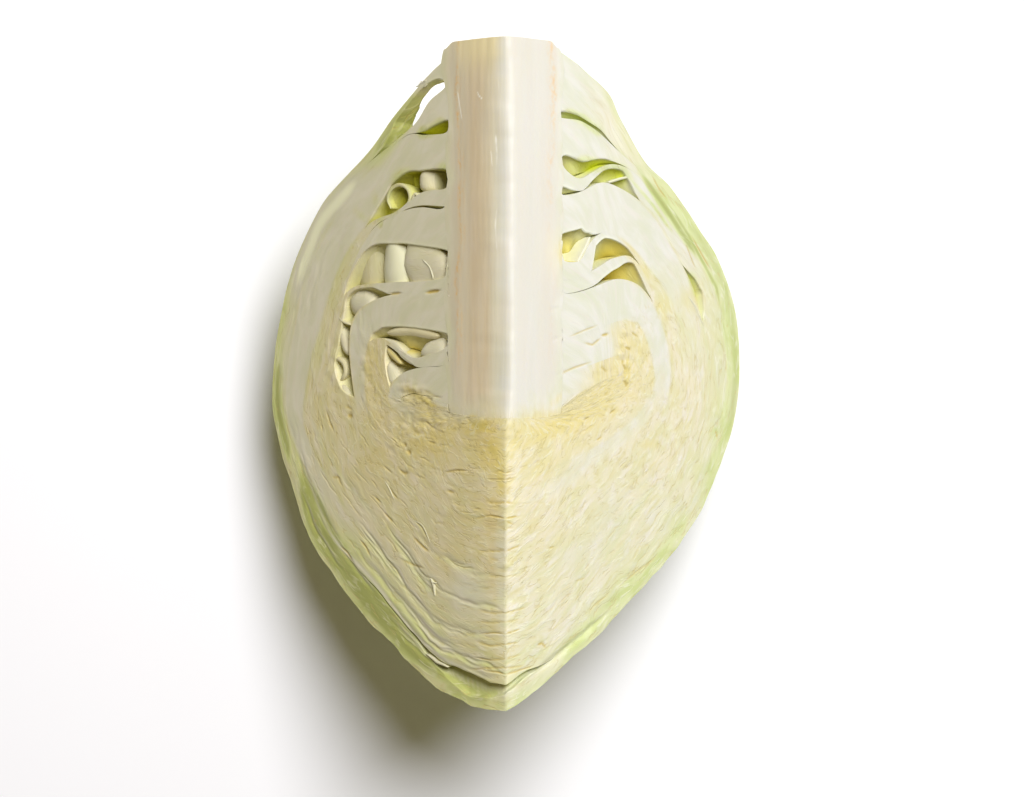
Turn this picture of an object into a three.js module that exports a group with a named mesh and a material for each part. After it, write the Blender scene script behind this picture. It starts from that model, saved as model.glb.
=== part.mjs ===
// A quarter wedge of a pointed cabbage, lying on its curved back with the knife edge up.
//
// The head was cut twice through its middle line, so the wedge has two flat cut faces that meet at
// a right angle along that line. The stalk stands at the +Y end and the pointed tip at the -Y end.
// Millimetres, +Z up, origin on the table under the middle of the wedge's box.
//
// Every leaf is drawn by its outer side where the two knife cuts cross it. A point of a leaf is
// [t, s, v, thickness]: t counts the fan lines that run out from the heart of the head (0 at the
// stalk, 5 at the widest place, 9 on the middle line at the tip), s is the distance from the middle
// line, v the distance from the cut end of the stalk. Between the two faces the leaf is turned
// about the middle line, and its shape passes smoothly from one list to the other.

import * as THREE from 'three';
import { mergeVertices } from 'three/addons/utils/BufferGeometryUtils.js';

// ---- driving dimensions -------------------------------------------------------------------------

const HEAD_LENGTH = 150;             // stalk's cut end to the tip, along the middle line
const HEAD_RADIUS = 79.5;            // middle line to the outside at the widest place
const HALF_ANGLE = Math.PI / 4;      // each cut face stands 45 degrees from straight down
const GAP = 0.45;                    // clear space kept between neighbouring leaves
const REST_SINK = 1.5;               // how far the round back is pressed flat by the head's weight
const REST_SQUEEZE = 0.75;           // leaves over the flat keep this share of their depth
const STEPS_PER_FAN = 2;             // facets of a leaf between two fan lines
const BACK_STEPS = 8;                // facets of a leaf from one cut face to the other
const OUTER_STEPS_PER_FAN = 4;       // the outermost leaf is what the wedge rests on, so it is finer
const OUTER_BACK_STEPS = 12;
const TIP = 9;                       // fan line that lies on the middle line, at the tip

// ---- the leaves, outside in ---------------------------------------------------------------------

// The outermost leaf: torn down to a thin ribbon near the stalk on the left face, a thick midrib
// on the right one.
const TORN_LEAF = {
  name: 'leaf_01_torn',
  left: [
    [0, 20.6, 4.5, 3], [1, 28, 9, 0.9], [2, 37, 16, 1.2], [2.5, 45, 23, 1.5], [3, 55, 29, 1.6],
    [3.5, 63.5, 35.5, 1.6], [4, 71.5, 48, 1.6], [4.5, 77, 63, 1.7], [5, HEAD_RADIUS, 80, 1.8],
    [5.5, 77, 89.5, 1.8], [6, 73.5, 99.5, 2], [6.5, 65, 112.8, 2], [7, 51.5, 126.5, 2.2],
    [7.5, 38, 136.6, 2.4], [8, 23, 145.3, 2.6], [8.5, 10, 149.2, 2.8], [TIP, 0, HEAD_LENGTH, 3],
  ],
  right: [
    [0, 19.6, 2.4, 10.2], [1, 26, 6.8, 9.6], [1.6, 33, 11, 8], [2, 37.2, 16.4, 5.2],
    [2.5, 46, 25.6, 2.6], [3, 55, 31.2, 2.2], [3.5, 64, 39.6, 2], [4, 73, 49.2, 2],
    [4.5, 78, 61, 1.9], [5, 79.3, 75, 1.9], [5.5, 77, 87.5, 1.8], [6, 70.4, 99.4, 1.8],
    [6.5, 62, 109, 1.8], [7, 50.5, 119, 1.8], [7.5, 37, 128.8, 1.8], [8, 23, 137.6, 1.8],
    [8.5, 11, 144.6, 2.6], [TIP, 0, HEAD_LENGTH, 3],
  ],
};

const LEAVES = [
  TORN_LEAF,
  {
    name: 'leaf_02',
    left: [
      [0, 20.4, 10.6, 6.2], [1, 26, 14.2, 5.2], [2, 34, 18.9, 1.6], [3, 53.6, 31, 1.6],
      [4, 69.4, 48.8, 1.8], [5, 77.1, 80, 1.9], [6, 71.2, 98.2, 2.2], [7, 49.5, 124, 3.4],
      [8, 22.5, 140.3, 2.6], [TIP, 0, 143.4, 2],
    ],
    right: [
      [0, 19.6, 17.1, 7.8], [1, 25.5, 17.7, 7], [2, 34.4, 21.9, 2], [3, 53.4, 33.8, 2],
      [4, 70.6, 50.6, 2], [5, 76.9, 75.4, 2.2], [6, 68.4, 98, 2.1], [7, 49.2, 116.8, 2],
      [8, 22.4, 135, 2], [TIP, 0, 143.4, 2],
    ],
  },
  {
    name: 'leaf_03',
    left: [
      [0, 20.4, 20.9, 7.6], [1, 26, 20.5, 8], [2, 34, 20.9, 8.8], [3, 52, 33.2, 8],
      [4, 66.8, 50, 9.4], [4.5, 71.8, 63.5, 8], [5, 74.7, 80, 6.6], [6, 68.2, 97, 5],
      [7, 46.8, 120.4, 2.6], [8, 23, 136.2, 2.2], [TIP, 0, 140.9, 2.2],
    ],
    right: [
      [0, 19.6, 28.6, 3.8], [1, 24.5, 30.4, 1.8], [2, 34, 26.6, 1.1], [2.5, 42, 28, 1.2],
      [3, 50.6, 35.2, 1.6], [4, 67.8, 52.4, 2.2], [5, 74.2, 75.8, 2.2], [6, 66.2, 96.6, 2.1],
      [7, 47.8, 114.4, 2], [8, 22, 132.6, 2], [TIP, 0, 140.9, 2.1],
    ],
  },
  {
    name: 'leaf_04',
    left: [
      [0, 20.4, 33.3, 2.3], [1, 26, 33.7, 2.2], [2, 34, 33.6, 2.4], [3, 46.5, 40.2, 1.6],
      [4, 57.9, 55, 2.2], [5, 67.5, 80.2, 2.4], [6, 63.2, 94.2, 2.2], [7, 42.8, 114.6, 2],
      [8, 22, 130.6, 2.2], [TIP, 0, 135.2, 2.3],
    ],
    right: [
      [0, 19.6, 35.2, 8], [1, 25.5, 33, 8.8], [2, 34, 31, 10], [3, 48.4, 37.4, 10],
      [4, 61.4, 52.6, 8], [4.5, 66, 63, 5], [5, 68.4, 76, 2.2], [6, 62.8, 94.6, 1.6],
      [7, 44.4, 109.6, 2], [8, 21, 127.4, 2.2], [TIP, 0, 135.2, 2.3],
    ],
  },
  {
    name: 'leaf_05',
    left: [
      [0, 20.4, 38.1, 8.8], [1, 27, 36.9, 8.8], [2, 35, 38, 7], [3, 45, 42.4, 4],
      [4, 55.2, 57, 2.4], [5, 64.4, 80.4, 2.2], [6, 60.2, 92.2, 2.2], [7, 40, 109.6, 2],
      [8, 21, 124.2, 2], [TIP, 0, 128, 2.2],
    ],
    right: [
      [0, 19.6, 49.8, 3.4], [1, 24.2, 48.8, 2.6], [1.6, 27.6, 44.8, 2], [2, 32, 42.3, 1.6],
      [3, 41.8, 46, 1.4], [4, 54, 57.4, 1.6], [5, 65.6, 76.4, 1.6], [6, 60.7, 93.2, 1.5],
      [7, 41, 104.8, 2], [8, 20, 121.4, 2], [TIP, 0, 128, 2.2],
    ],
  },
  {
    name: 'leaf_06',
    left: [
      [0, 20.4, 53.6, 1.6], [1, 28, 53.6, 1.4], [2, 37, 54, 1.4], [3, 48, 54.8, 1.6],
      [4, 52.3, 59.4, 1.2], [5, 60.8, 80.4, 2], [6, 57.2, 90.2, 2], [7, 37.2, 104.8, 2],
      [8, 20, 116.6, 2], [TIP, 0, 120, 2.2],
    ],
    right: [
      [0, 19.6, 54.4, 1.9], [1, 25.6, 52.4, 2.4], [1.6, 30.4, 50.2, 2.4], [2, 34.8, 48.4, 2.4],
      [3, 42.4, 48.4, 1.4], [4, 52.1, 58.8, 1.2], [5, 63.4, 76.6, 1.6], [6, 58.7, 91.8, 1.5],
      [7, 39.6, 102.2, 2], [8, 19, 114.4, 2], [TIP, 0, 120, 2.2],
    ],
  },
  {
    name: 'leaf_07',
    left: [
      [0, 20.4, 56.7, 9], [1, 28, 56.4, 8.2], [2, 37, 56.7, 7.8], [3, 45.5, 58.4, 7],
      [4, 50.4, 62, 4.6], [4.5, 51.8, 69, 3.6], [5, 50.2, 79, 2.4], [6, 46.8, 87.5, 2.2],
      [7, 32.5, 99.3, 2.2], [8, 17, 105.4, 2.4], [TIP, 0, 107.2, 2.5],
    ],
    right: [
      [0, 19.6, 57.4, 8.8], [1, 28, 55.2, 8.4], [2, 36.4, 53, 8.2], [3, 44.6, 54.6, 7.6],
      [4, 50.8, 61, 6], [4.5, 53.8, 68, 5], [5, 55, 76.4, 5], [6, 49.4, 86.6, 4.4],
      [7, 34.6, 94.8, 4], [8, 17, 103.6, 3], [TIP, 0, 107.2, 2.5],
    ],
  },
  {
    name: 'leaf_08',
    left: [
      [0, 20.4, 69.2, 2.6], [1, 26, 69.4, 2.4], [2, 33, 68.6, 1.8], [3, 40.5, 66.6, 1.4],
      [4, 45.2, 68.4, 1.6], [5, 46, 78.6, 1.8], [6, 43, 86, 1.8], [7, 30, 94.6, 2],
      [8, 15.5, 97.6, 2.2], [TIP, 0, 98.6, 2.2],
    ],
    right: [
      [0, 19.6, 67.4, 7], [1, 26.5, 65.4, 6.4], [2, 34, 63.4, 4.6], [3, 40.6, 62.6, 2],
      [4, 45.2, 65.4, 1.8], [5, 49, 76, 2], [6, 45.2, 82.6, 2], [7, 32.2, 90.2, 2],
      [8, 15.5, 95.6, 2.2], [TIP, 0, 98.6, 2.2],
    ],
  },
  {
    name: 'leaf_09',
    left: [
      [0, 20.4, 73.4, 6.2], [1, 26.5, 73.2, 5.6], [2, 32, 74, 4.4], [3, 36, 76, 3.6],
      [4, 38, 78.4, 3.6], [5, 38.4, 81.2, 3.6], [6, 36, 84.6, 3], [7, 27, 89.6, 2.4],
      [8, 13.5, 91.8, 2.2], [TIP, 0, 92.2, 2.2],
    ],
    right: [
      [0, 19.6, 75.5, 4.4], [1, 26, 73.4, 4.4], [2, 32.5, 71.4, 4], [3, 38, 70.4, 3.4],
      [4, 42.4, 71.8, 3], [5, 44.6, 76.4, 2.8], [6, 41.2, 81.4, 2.4], [7, 29.8, 87.2, 2.4],
      [8, 14.5, 91, 2.2], [TIP, 0, 92.2, 2.2],
    ],
  },
  {
    name: 'heart_bud',
    left: [
      [0, 20.4, 80.2, 9], [1, 26, 79.8, 9], [2, 30, 79.2, 12], [3, 33, 79.8, 14], [4, 33.7, 80.3, 16],
      [5, 33.6, 81, 17], [6, 32.6, 82.4, 18], [7, 25.6, 86.4, 14], [8, 13.2, 88.7, 8],
      [TIP, 0, 89.2, 5],
    ],
    right: [
      [0, 19.6, 80.7, 9], [1, 25, 78.6, 9], [2, 31.4, 76.4, 16], [3, 36.6, 74.8, 19],
      [4, 39.2, 75.4, 22], [5, 41, 76.8, 25], [6, 38.4, 80, 24], [7, 28.8, 84.4, 18],
      [8, 14, 88, 9], [TIP, 0, 89.2, 5],
    ],
  },
];

// Where the stalk's lower end closes the hollow that the heart bud fills.
const STALK_END = {
  left: [[0, 20.4, 81.4], [3, 19.6, 82.8], [5, 17.4, 83.8], [7, 11, 84.6], [TIP, 0, 84.8]],
  right: [[0, 19.6, 81.9], [3, 19, 83], [5, 17, 83.9], [7, 11, 84.6], [TIP, 0, 84.8]],
};

// Leaves of the far side of the head, wrapped over the tip: how many lie under each of LEAVES.
const TIP_LEAVES_UNDER = [0, 0, 1, 2, 2, 4, 2, 1, 0, 0];
const TIP_LEAF_MIN = 0.6;            // thinnest such leaf
const TIP_LEAVES_FROM = 4;           // fan line above which no such leaf reaches

// The stalk: [v, radius] down its side on each face, and how wide the knife edge is blunted.
const STALK_LEFT = [[0, 19.4], [4, 20], [12, 19.2], [48, 19.2], [57, 19.9], [68, 19], [77, 18.6],
  [80.5, 16.6], [82.8, 12], [84, 0]];
const STALK_RIGHT = [[0, 16.6], [4, 18.8], [12, 18.2], [30, 18.6], [48, 18.4], [57, 18.8], [68, 18.6],
  [78, 18.2], [82, 13], [84, 0]];
const BLUNT_TOP = 2;                 // width of the blunted edge on the left face at the cut end
const BLUNT_LOW = 6;                 // and at the stalk's lower end
const BLUNT_RIGHT = 0.6;             // width of the blunted edge on the right face
const STALK_RINGS = 18;              // facets down the stalk
const STALK_BACK_STEPS = 12;         // facets around it

// ---- materials ----------------------------------------------------------------------------------

const leafMaterial = (color) => new THREE.MeshStandardMaterial({ color, roughness: 0.5, metalness: 0 });
const OUTER_GREEN = 0xcbd68f;
const PALE_GREEN = 0xe0e3b4;
const CREAM = 0xece6c4;
const HEART_YELLOW = 0xe9da9a;
const STALK_CREAM = 0xefe6d2;

// ---- shape --------------------------------------------------------------------------------------

// Smooth curve through rows [t, value, value, ...], read at t.
function readRows(rows, t) {
  const last = rows.length - 1;
  let i = 0;
  while (i < last - 1 && t > rows[i + 1][0]) i += 1;
  const slope = (k, c) => {
    const before = rows[Math.max(k - 1, 0)];
    const after = rows[Math.min(k + 1, last)];
    return (after[c] - before[c]) / (after[0] - before[0]);
  };
  const span = rows[i + 1][0] - rows[i][0];
  const u = Math.min(Math.max((t - rows[i][0]) / span, 0), 1);
  const value = (c) => {
    const start = rows[i][c] * (1 + 2 * u) * (1 - u) ** 2 + slope(i, c) * span * u * (1 - u) ** 2;
    const end = rows[i + 1][c] * (3 - 2 * u) * u ** 2 + slope(i + 1, c) * span * (u - 1) * u ** 2;
    return start + end;
  };
  return rows[i].slice(1).map((_, c) => value(c + 1));
}

// Share of the right face's shape at azimuth a: 0 on the left face, 1 on the right one.
const rightShare = (a) => THREE.MathUtils.smoothstep(a, -HALF_ANGLE, HALF_ANGLE);

// [s, v, thickness] of a leaf, or of the stalk's end, at fan line t and azimuth a.
function section(leaf, t, a) {
  const left = readRows(leaf.left, t);
  const right = readRows(leaf.right, t);
  const w = rightShare(a);
  return left.map((value, i) => value + (right[i] - value) * w);
}

// The point of the section plane at azimuth a, in the wedge's own frame. Points near the table are
// pressed up: depth is how far inside the head's outside the point lies.
function place(s, v, a, depth) {
  const z = HEAD_RADIUS - REST_SINK - s * Math.cos(a);
  return new THREE.Vector3(s * Math.sin(a), -v, Math.max(z, depth * REST_SQUEEZE));
}

const between = (p, q, share) => [p[0] + (q[0] - p[0]) * share, p[1] + (q[1] - p[1]) * share];
const distance = (p, q) => Math.hypot(p[0] - q[0], p[1] - q[1]);

// Outer and inner point [s, v] of LEAVES[k]: the inner one lies towards the next leaf, as far as
// the leaf is thick, and never closer to that leaf than the gap.
function leafSection(k, t, a) {
  const [s, v, thickness] = section(LEAVES[k], t, a);
  const next = section(LEAVES[k + 1] ?? STALK_END, t, a);
  const room = distance([s, v], next);
  const share = Math.min(thickness, room - GAP) / room;
  return { outer: [s, v], inner: between([s, v], next, share), next };
}

// Tip leaf number i of n under LEAVES[k].
function tipSection(k, i, n, t, a) {
  const { inner, next } = leafSection(k, t, a);
  const room = distance(inner, next);
  const each = (room - (n - 1) * GAP - 2 * GAP) / n;
  const start = GAP + i * (each + GAP);
  return { outer: between(inner, next, start / room), inner: between(inner, next, (start + each) / room) };
}

// First half fan line from which n tip leaves fit under LEAVES[k] on both faces, and stay fitting.
function firstFit(k, n) {
  let first = TIP;
  for (let t = TIP; t >= TIP_LEAVES_FROM; t -= 1 / STEPS_PER_FAN) {
    const fits = [-HALF_ANGLE, 0, HALF_ANGLE].every((a) => {
      const { inner, next } = leafSection(k, t, a);
      return distance(inner, next) >= n * TIP_LEAF_MIN + (n + 1) * GAP;
    });
    if (!fits) break;
    first = t;
  }
  return first;
}

// Closed mesh from two sheets of points, outer[i][j] and inner[i][j], i along, j across.
function slab(outer, inner) {
  const positions = [];
  const triangle = (p, q, r) => {
    const smallest = 1e-3;
    if (p.distanceTo(q) < smallest || q.distanceTo(r) < smallest || r.distanceTo(p) < smallest) return;
    positions.push(...p.toArray(), ...r.toArray(), ...q.toArray());
  };
  const quad = (p, q, r, s) => {
    triangle(p, q, r);
    triangle(p, r, s);
  };
  const along = outer.length - 1;
  const across = outer[0].length - 1;
  for (let i = 0; i < along; i += 1) {
    for (let j = 0; j < across; j += 1) {
      quad(outer[i][j], outer[i + 1][j], outer[i + 1][j + 1], outer[i][j + 1]);
      quad(inner[i][j], inner[i][j + 1], inner[i + 1][j + 1], inner[i + 1][j]);
    }
    quad(outer[i][0], inner[i][0], inner[i + 1][0], outer[i + 1][0]);
    quad(outer[i][across], outer[i + 1][across], inner[i + 1][across], inner[i][across]);
  }
  for (let j = 0; j < across; j += 1) {
    quad(outer[0][j], outer[0][j + 1], inner[0][j + 1], inner[0][j]);
    quad(outer[along][j], inner[along][j], inner[along][j + 1], outer[along][j + 1]);
  }
  const geometry = new THREE.BufferGeometry();
  geometry.setAttribute('position', new THREE.Float32BufferAttribute(positions, 3));
  const merged = mergeVertices(geometry, 1e-3);
  merged.computeVertexNormals();
  return merged;
}

// Sheets of a leaf from fan line `from` to the tip, given its section rule.
function leafMesh(name, color, from, fineness, sectionAt) {
  const { perFan, backSteps } = fineness;
  const steps = Math.round((TIP - from) * perFan);
  const sheet = (side) => Array.from({ length: steps + 1 }, (_, i) => {
    const t = from + i / perFan;
    return Array.from({ length: backSteps + 1 }, (__, j) => {
      const a = -HALF_ANGLE + (2 * HALF_ANGLE * j) / backSteps;
      const [s, v] = sectionAt(t, a)[side];
      const outside = section(TORN_LEAF, t, a);
      return place(s, v, a, distance([s, v], outside));
    });
  });
  const mesh = new THREE.Mesh(slab(sheet('outer'), sheet('inner')), leafMaterial(color));
  mesh.name = name;
  return mesh;
}

// The stalk: round outside, its lower end a blunt cone, the knife edge blunted along it.
function stalkMesh() {
  const outer = [];
  const inner = [];
  for (let i = 0; i <= STALK_RINGS; i += 1) {
    const v = 84 * Math.sin((i / STALK_RINGS) * (Math.PI / 2));
    const [leftRadius] = readRows(STALK_LEFT, v);
    const [rightRadius] = readRows(STALK_RIGHT, v);
    const blunt = THREE.MathUtils.lerp(BLUNT_TOP, BLUNT_LOW, v / 84);
    const leftTop = Math.min(blunt, leftRadius / 2);
    const rightTop = Math.min(BLUNT_RIGHT, rightRadius / 2);
    outer.push([]);
    inner.push([]);
    for (let j = 0; j <= STALK_BACK_STEPS; j += 1) {
      const share = j / STALK_BACK_STEPS;
      const a = -HALF_ANGLE + 2 * HALF_ANGLE * share;
      const radius = THREE.MathUtils.lerp(leftRadius, rightRadius, rightShare(a));
      outer[i].push(place(radius, v, a, 0));
      const left = place(leftTop, v, -HALF_ANGLE, 0);
      inner[i].push(left.lerp(place(rightTop, v, HALF_ANGLE, 0), share));
    }
  }
  const mesh = new THREE.Mesh(slab(outer, inner), leafMaterial(STALK_CREAM));
  mesh.name = 'stalk';
  return mesh;
}

// ---- assembly -----------------------------------------------------------------------------------

const wedge = new THREE.Group();
wedge.add(stalkMesh());

const colorOf = (k) => {
  if (k < 2) return OUTER_GREEN;
  if (k < 4) return PALE_GREEN;
  return k < 8 ? CREAM : HEART_YELLOW;
};

const PLAIN = { perFan: STEPS_PER_FAN, backSteps: BACK_STEPS };
const FINE = { perFan: OUTER_STEPS_PER_FAN, backSteps: OUTER_BACK_STEPS };

let tipLeafNumber = 0;
LEAVES.forEach((leaf, k) => {
  wedge.add(leafMesh(leaf.name, colorOf(k), 0, k === 0 ? FINE : PLAIN, (t, a) => leafSection(k, t, a)));
  const count = TIP_LEAVES_UNDER[k];
  for (let i = 0; i < count; i += 1) {
    tipLeafNumber += 1;
    const name = `tip_leaf_${String(tipLeafNumber).padStart(2, '0')}`;
    const from = firstFit(k, count);
    wedge.add(leafMesh(name, colorOf(k), from, PLAIN, (t, a) => tipSection(k, i, count, t, a)));
  }
});

// Stand the wedge on the table with its box's middle over the origin.
const box = new THREE.Box3().setFromObject(wedge);
wedge.position.set(-(box.min.x + box.max.x) / 2, -(box.min.y + box.max.y) / 2, -box.min.z);
wedge.updateMatrixWorld(true);

export default wedge;
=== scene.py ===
# %% [markdown]
# # A quarter wedge of a pointed cabbage
# The head was cut twice through its middle line, so two flat faces meet in one long knife edge.
# A cabbage is a bud: every leaf grows from the stalk, bends over the heart and lies on the next
# leaf as far as the tip. The cut shows each leaf on edge, thick and white at the midrib and thin
# and yellow-green further out. Everything here is drawn from those two cut faces.
#
# A few short names are used all through. On a cut face, s is the distance from the middle line
# and v the distance from the stalk's cut end, both in millimetres. In a leaf, t is the fan line
# (0 at the stalk, 9 at the tip), h the share of its thickness (0 outside, 1 inside), a the angle
# from the middle of the wedge, and w the share of the way from the left face to the right face.

# %% The packed frame
import math
from collections import namedtuple

import bmesh
import bpy
import numpy as np
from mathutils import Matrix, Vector


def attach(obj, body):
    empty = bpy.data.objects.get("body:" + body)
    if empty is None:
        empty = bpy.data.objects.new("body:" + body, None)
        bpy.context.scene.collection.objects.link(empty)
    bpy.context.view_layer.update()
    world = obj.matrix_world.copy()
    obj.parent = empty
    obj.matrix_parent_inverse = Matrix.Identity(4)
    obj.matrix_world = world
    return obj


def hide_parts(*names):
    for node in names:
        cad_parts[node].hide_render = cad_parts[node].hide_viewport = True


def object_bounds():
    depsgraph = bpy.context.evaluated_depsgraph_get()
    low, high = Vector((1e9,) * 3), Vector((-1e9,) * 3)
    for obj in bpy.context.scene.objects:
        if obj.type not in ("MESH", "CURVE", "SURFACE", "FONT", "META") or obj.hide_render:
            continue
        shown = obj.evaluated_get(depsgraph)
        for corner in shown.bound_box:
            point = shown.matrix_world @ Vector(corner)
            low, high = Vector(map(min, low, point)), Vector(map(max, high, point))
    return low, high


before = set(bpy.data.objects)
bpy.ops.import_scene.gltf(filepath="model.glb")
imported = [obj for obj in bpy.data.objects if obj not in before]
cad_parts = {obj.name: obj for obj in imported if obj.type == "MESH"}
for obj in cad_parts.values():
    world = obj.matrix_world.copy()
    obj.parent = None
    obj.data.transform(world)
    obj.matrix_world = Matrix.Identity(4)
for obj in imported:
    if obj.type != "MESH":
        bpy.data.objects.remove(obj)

CAD_LOW, CAD_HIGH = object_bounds()
MM = 0.001
HEAD_RADIUS = 79.5
HALF_ANGLE = math.pi / 4
SLOPE = math.sqrt(0.5)                               # both cut faces slope at 45 degrees
EDGE_X = CAD_LOW.x / MM + HEAD_RADIUS * math.sin(HALF_ANGLE)
STALK_Y = CAD_HIGH.y / MM
EDGE_Z = CAD_HIGH.z / MM
LEFT = 0
RIGHT = 1
print("knife edge at x %.2f, z %.2f mm; stalk's cut end at y %.2f mm" % (EDGE_X, EDGE_Z, STALK_Y))

# %% [markdown]
# ## The leaves on the two cut faces
# Each leaf is a list of places on its outer side: fan line, distance from the middle line, distance
# from the stalk's cut end, thickness. Fan lines run out from the heart, 0 at the stalk and 9 on the
# middle line at the tip, so that equal fan lines lie side by side on neighbouring leaves. Leaves
# could be drawn as freehand curves, but lists that share their fan lines keep every leaf in touch
# with the next one, as in the real bud.

# %% Leaf outlines on the left face
TIP = 9.0
LEAVES_LEFT = {
    "leaf_01_torn": [
        (0, 20.6, 4.5, 3), (1, 28, 9, 0.9), (2, 37, 16, 1.2), (2.5, 45, 23, 1.5), (3, 54.6, 29.4, 1.6),
        (3.5, 62.4, 36, 1.6), (4, 71.4, 48, 1.6), (4.5, 77, 63, 1.7), (5, 79.5, 80, 1.8),
        (5.5, 77, 89.5, 1.8), (6, 73.5, 99.5, 2), (6.5, 65.6, 114, 1.3), (7, 51.6, 126.8, 1.1),
        (7.5, 38, 136.6, 1.2), (8, 23, 145.3, 1.4), (8.5, 10, 149.2, 2), (TIP, 0, 150, 2.4)],
    "leaf_02": [
        (0, 20.4, 10, 6.6), (1, 25.4, 13.6, 5.4), (1.5, 28.6, 17.2, 2.4), (2, 33, 19.7, 1.2),
        (3, 53.6, 31, 1.6), (4, 69.4, 48.8, 1.8), (5, 77.1, 80, 1.9), (6, 70.6, 97.8, 2),
        (6.5, 61.4, 110.4, 2), (7, 46.6, 121.6, 1.8), (7.5, 34, 131, 2), (8, 21, 139.2, 2.2),
        (8.5, 9.6, 142.6, 2), (TIP, 0, 143.4, 2)],
    "leaf_03": [
        (0, 20.4, 20.9, 7.6), (1, 26, 20.5, 8), (2, 34, 20.9, 8.8), (3, 52, 33.2, 8),
        (4, 66.8, 50, 9.4), (4.5, 71.8, 63.5, 8), (5, 74.7, 80, 6.6), (6, 68.2, 97, 5),
        (6.5, 58.4, 108.6, 3), (7, 44.6, 118.8, 2.4), (8, 22.2, 135.6, 2.2), (TIP, 0, 140.9, 2.2)],
    "leaf_04": [
        (0, 20.4, 33.6, 3), (0.6, 24, 33.1, 2.6), (1, 27.4, 33.6, 1.8), (1.5, 30.8, 35.2, 1),
        (2, 35.4, 37.4, 0.9), (3, 46.5, 41, 1.2), (4, 57.9, 55, 2.2), (5, 67.5, 80.2, 2.4),
        (6, 63.2, 94.2, 2.2), (7, 42.8, 114.6, 2), (8, 22, 130.6, 2.2), (TIP, 0, 135.2, 2.3)],
    "leaf_05": [
        (0, 20.4, 38.1, 8.8), (1, 27, 36.9, 8.8), (2, 35, 38, 7), (3, 45, 42.4, 4), (4, 55.2, 57, 2.4),
        (5, 64.4, 80.4, 2.2), (6, 60.2, 92.2, 2.2), (7, 40, 109.6, 2), (8, 21, 124.2, 2),
        (TIP, 0, 128, 2.2)],
    "leaf_06": [
        (0, 20.4, 53.6, 1.6), (1, 28, 53.6, 1.4), (2, 37, 53.8, 1.2), (3, 48.5, 54, 1),
        (3.5, 53, 56, 1), (4, 54.2, 60.2, 0.9), (5, 60.8, 80.4, 2), (6, 57.2, 90.2, 2),
        (7, 37.2, 104.8, 2), (8, 20, 116.6, 2), (TIP, 0, 120, 2.2)],
    "leaf_07": [
        (0, 20.4, 56.7, 9), (1, 28, 56.4, 8.2), (2, 37, 56.7, 7.8), (3, 45.5, 58.4, 7),
        (4, 50.4, 62, 4.6), (4.5, 51.8, 69, 3.6), (5, 50.2, 79, 2.4), (6, 46.8, 87.5, 2.2),
        (7, 32.5, 99.3, 2.2), (8, 17, 105.4, 2.4), (TIP, 0, 107.2, 2.5)],
    "leaf_08": [
        (0, 20.4, 69.4, 3.2), (1, 26, 70.6, 2.6), (1.5, 29.6, 71, 1.6), (2, 33.2, 69.6, 1.4),
        (3, 40.5, 66.6, 1.4), (4, 45.2, 68.4, 1.6), (5, 46, 78.6, 1.8), (6, 43, 86, 1.8),
        (7, 30, 94.6, 2), (8, 15.5, 97.6, 2.2), (TIP, 0, 98.6, 2.2)],
    "leaf_09": [
        (0, 20.4, 73.4, 6.2), (1, 26.5, 73.2, 5.6), (2, 32, 74, 4.4), (3, 36, 76, 3.6),
        (4, 38, 78.4, 3.6), (5, 38.4, 81.2, 3.6), (6, 36, 84.6, 3), (7, 27, 89.6, 2.4),
        (8, 13.5, 91.8, 2.2), (TIP, 0, 92.2, 2.2)],
    "heart_bud": [
        (0, 20.4, 80.2, 9), (1, 26, 79.8, 9), (2, 30, 79.2, 12), (3, 33, 79.8, 14), (4, 33.7, 80.3, 16),
        (5, 33.6, 81, 17), (6, 32.6, 82.4, 18), (7, 25.6, 86.4, 14), (8, 13.2, 88.7, 8),
        (TIP, 0, 89.2, 5)],
    "stalk_end": [
        (0, 20.4, 81.4, 0), (3, 19.6, 82.8, 0), (5, 17.4, 83.8, 0), (7, 11, 84.6, 0), (TIP, 0, 84.8, 0)],
}
print(len(LEAVES_LEFT) - 1, "leaves on the left face")

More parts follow.
